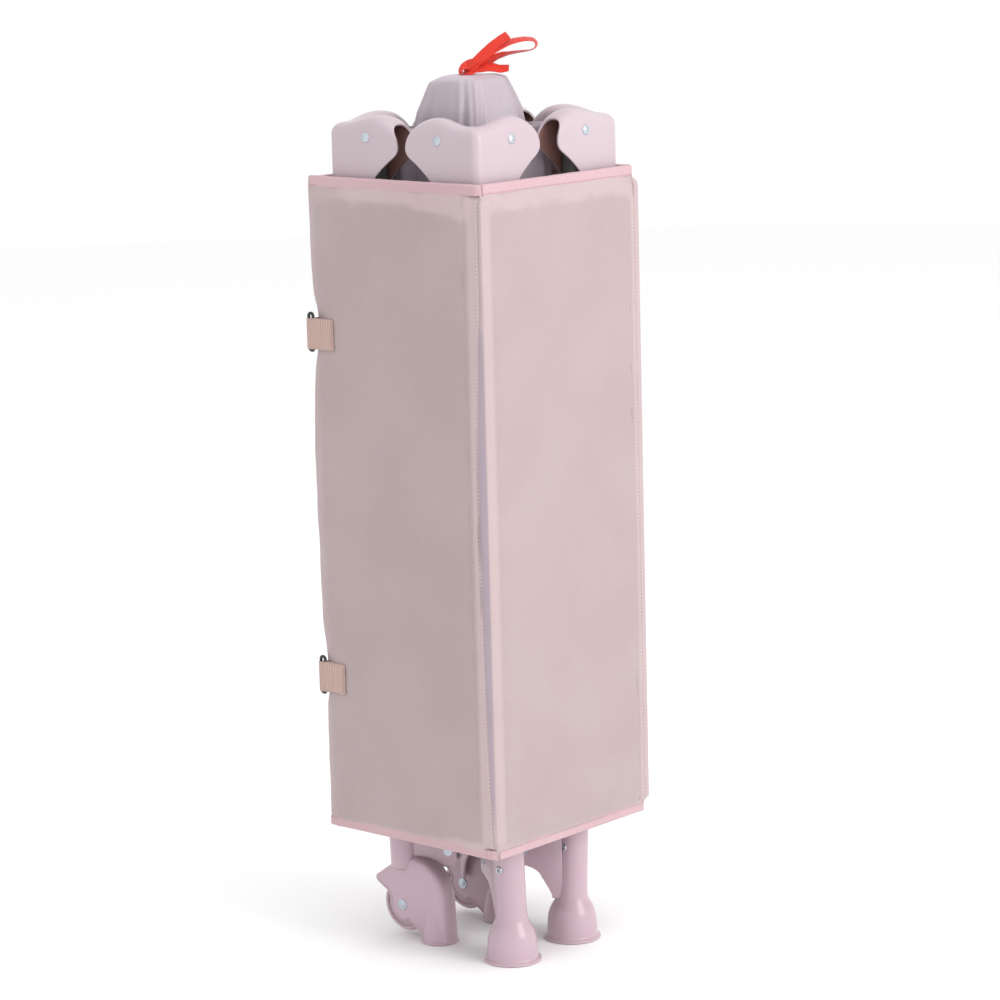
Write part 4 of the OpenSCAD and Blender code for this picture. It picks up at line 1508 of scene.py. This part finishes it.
def tent_point(u, v):
    """The floor cloth, drawn up over the hub and hanging in folds round the four floor rails."""
    angle = 2 * math.pi * u + 0.25 * math.sin(v * 3)
    rise = min(1.0, v / 0.86)
    z = 126 + (TENT_TOP - 3.5 - 126) * rise
    half_x = ramp([(126, 36), (600, 40), (735, 41.5), (752, 42), (768, 39.5), (786, 33), (793.5, 30)], z)
    half_y = half_x + 2 * ease((760 - z) / 20)
    if v > 0.86:
        inward = (v - 0.86) / 0.14
        half_x = 30 * (1 - inward)
        half_y = half_x
        z = TENT_TOP - 3.5 + 3.5 * math.sin(math.pi / 2 * min(1, inward * 2.2))
    c, s = math.cos(angle), math.sin(angle)
    power = 2 / ramp([(126, 3.2), (740, 4.5), (793, 3.6)], z)
    x = math.copysign(abs(c) ** power, c) * half_x
    y = math.copysign(abs(s) ** power, s) * half_y
    depth = ramp([(126, 5), (700, 5), (742, 4.4), (770, 3.6), (792, 2.0)], z)
    depth *= 1 if v < 0.86 else 1 - inward
    fold = math.sin(angle * 8 + 2.6 * wave(z / 120, u * 3, 0, 1))
    fold += 0.5 * math.sin(angle * 19 + 3 * wave(z / 90, 5, 0, 2))
    fold += 0.9 * wave(c * 2.2, s * 2.2, z / 45, 3)
    shrink = 1 - depth * (0.55 - 0.45 * fold) / 40
    leftward = -(x * math.cos(VIEW_TURN) + y * math.sin(VIEW_TURN))
    z += (1.5 * ease((-leftward - 10) / 25) - 3 * ease((leftward - 14) / 30)) * ease((z - 740) / 50)
    return mm(HUB_X + x * shrink, HUB_Y + y * shrink, z)


def make_tent():
    bm = bent_grid(176, 190, tent_point, closed=True)
    outward_from(bm, mm(HUB_X, HUB_Y, 500))
    tent = new_object("gathered_floor_cloth", bm)
    thicken(tent, 0.5 * MM)
    apply_modifiers(tent)
    finish_piece(tent, "frame", SATIN, ["floor_fabric"])


MESH_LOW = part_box("side_mesh")[0]


def side_point(u, v, low, high, reach, seed):
    """A side cloth folded in a zigzag round the inside of the folded frame."""
    angle = 2 * math.pi * u
    z = low + (high - low) * v
    c, s = math.cos(angle), math.sin(angle)
    power = 2 / 7
    hx, hy = reach
    x = math.copysign(abs(c) ** power, c) * hx
    y = math.copysign(abs(s) ** power, s) * hy
    fold = math.sin(angle * 22 + 1.6 * wave(z / 120, u * 2, 0, seed))
    fold += 0.5 * wave(c * 4, s * 4, z / 50, seed + 1)
    shrink = 1 - (0.11 - 0.075 * fold)
    return mm(x * shrink + 0.5 * wave(z / 30, u, 0, seed), y * shrink + 1.5, z)


def make_side_cloth():
    for name, low, high, reach, material, seed, girth in (
            ("side_mesh_folds", MESH_LOW.z / MM, 704, (70, 62), NET, 3, NET_GIRTH),
            ("side_satin_folds", 560, 752, (61, 55), SATIN, 8, SATIN_GIRTH)):
        bm = bent_grid(300, 70, lambda u, v: side_point(u, v, low, high, reach, seed), closed=True)
        outward_from(bm, mm(0, 0, 400))
        cloth = new_object(name, bm)
        thicken(cloth, 0.5 * MM)
        apply_modifiers(cloth)
        finish_piece(cloth, "frame", material, ["side_mesh"])


# ---- pull ribbon ----

RIGHTWARD = Vector((math.cos(VIEW_TURN), math.sin(VIEW_TURN), 0))
TOWARD = Vector((math.sin(VIEW_TURN), -math.cos(VIEW_TURN), 0))


def ribbon_band(stops, width, seed):
    """A twisted ribbon through (rightward, toward, height, roll) stops, in millimetres and degrees."""
    path = [
        Vector((HUB_X, HUB_Y, 0)) + RIGHTWARD * a + TOWARD * b + Vector((0, 0, z)) for a, b, z, roll in stops]
    rolls = [math.radians(stop[3]) for stop in stops]

    def place(u, v):
        here = on_path(path, v)
        line = (on_path(path, min(1, v + 0.01)) - on_path(path, max(0, v - 0.01))).normalized()
        i = min(len(rolls) - 2, int(v * (len(rolls) - 1)))
        f = ease(v * (len(rolls) - 1) - i)
        roll = rolls[i] + (rolls[i + 1] - rolls[i]) * f
        lift = line.cross(TOWARD).normalized()
        side = lift.cross(line).normalized()
        wide = side * math.cos(roll) + lift * math.sin(roll)
        flat = wide.cross(line)
        cup = 0.35 * math.cos((u - 0.5) * 2.6) + 0.25 * wave(v * 9, u * 2, 0, seed)
        return (here + wide * (u - 0.5) * width + flat * cup) * MM
    bm = bent_grid(10, 70, place)
    layer = bm.loops.layers.uv.verify()
    total = sum((q - p).length for p, q in zip(path, path[1:])) * MM
    for face in bm.faces:
        for loop in face.loops:
            uv = loop[layer].uv
            loop[layer].uv = (uv.x * width * MM, uv.y * total)
    return bm


def make_ribbon():
    bm = ribbon_band([
        (-4, 3, 797.5, 10), (1, 3, 801, 35), (8, 2, 808, 60), (15, 1, 814.5, 62), (22, 0, 820.5, 60),
        (30, -1, 826.5, 52), (37, -2, 831, 45)], 10, 1)
    join_into(bm, ribbon_band([
        (-2, 2, 799, 20), (4, 2, 805, 50), (11, 1, 811, 50), (25, 0, 819, 36), (39, -1, 825, 26),
        (50, -2, 827, 20),
        (57, -3, 826.8, 16), (60.6, -4, 825, 14), (62, -4, 822, 12), (60.4, -4, 819, 10), (56, -4, 817.2, 10),
        (48, -3, 816.3, 15), (39, -2, 815.4, 20), (29, -1, 813.4, 35), (19, 0, 809, 50), (9, 1, 803.5, 45),
        (1, 1, 799.5, 20)], 10, 2))
    join_into(bm, ribbon_band([
        (-3, 1, 799, 20), (4, 2, 802, 45), (12, 3, 803, 50), (21, 4, 803.4, 46), (29, 5, 801.8, 40),
        (37, 6, 802.4, 30)], 10, 3))
    join_into(bm, ribbon_band([
        (-4, 6, 797, 5), (-4.5, 3, 801, 30), (-1, 0, 804.5, 50), (4, -1, 806, 70), (5, 3, 803, 110),
        (0, 6.5, 797.5, 150)], 10, 4))
    ribbon = new_object("pull_ribbon_bow", bm)
    thicken(ribbon, 0.35 * MM, 0)
    apply_modifiers(ribbon)
    finish_piece(ribbon, "frame", RIBBON, ["pull_ribbon"])


make_straps()
make_tent()
make_side_cloth()
make_ribbon()

# ---- finishes on the parts that keep their solids ----

FINISHES = {
    "leg_": TUBE, "long_rail_": TUBE, "short_rail_": TUBE, "floor_rail_": TUBE, "latch_rivets": ZINC,
    "floor_rivets": ZINC, "latch_": LATCH, "button_": RING, "hub": LATCH,
}
for node_name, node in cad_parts.items():
    for start_of, finish in FINISHES.items():
        if node_name.startswith(start_of):
            node.data.materials.clear()
            node.data.materials.append(finish)
            break
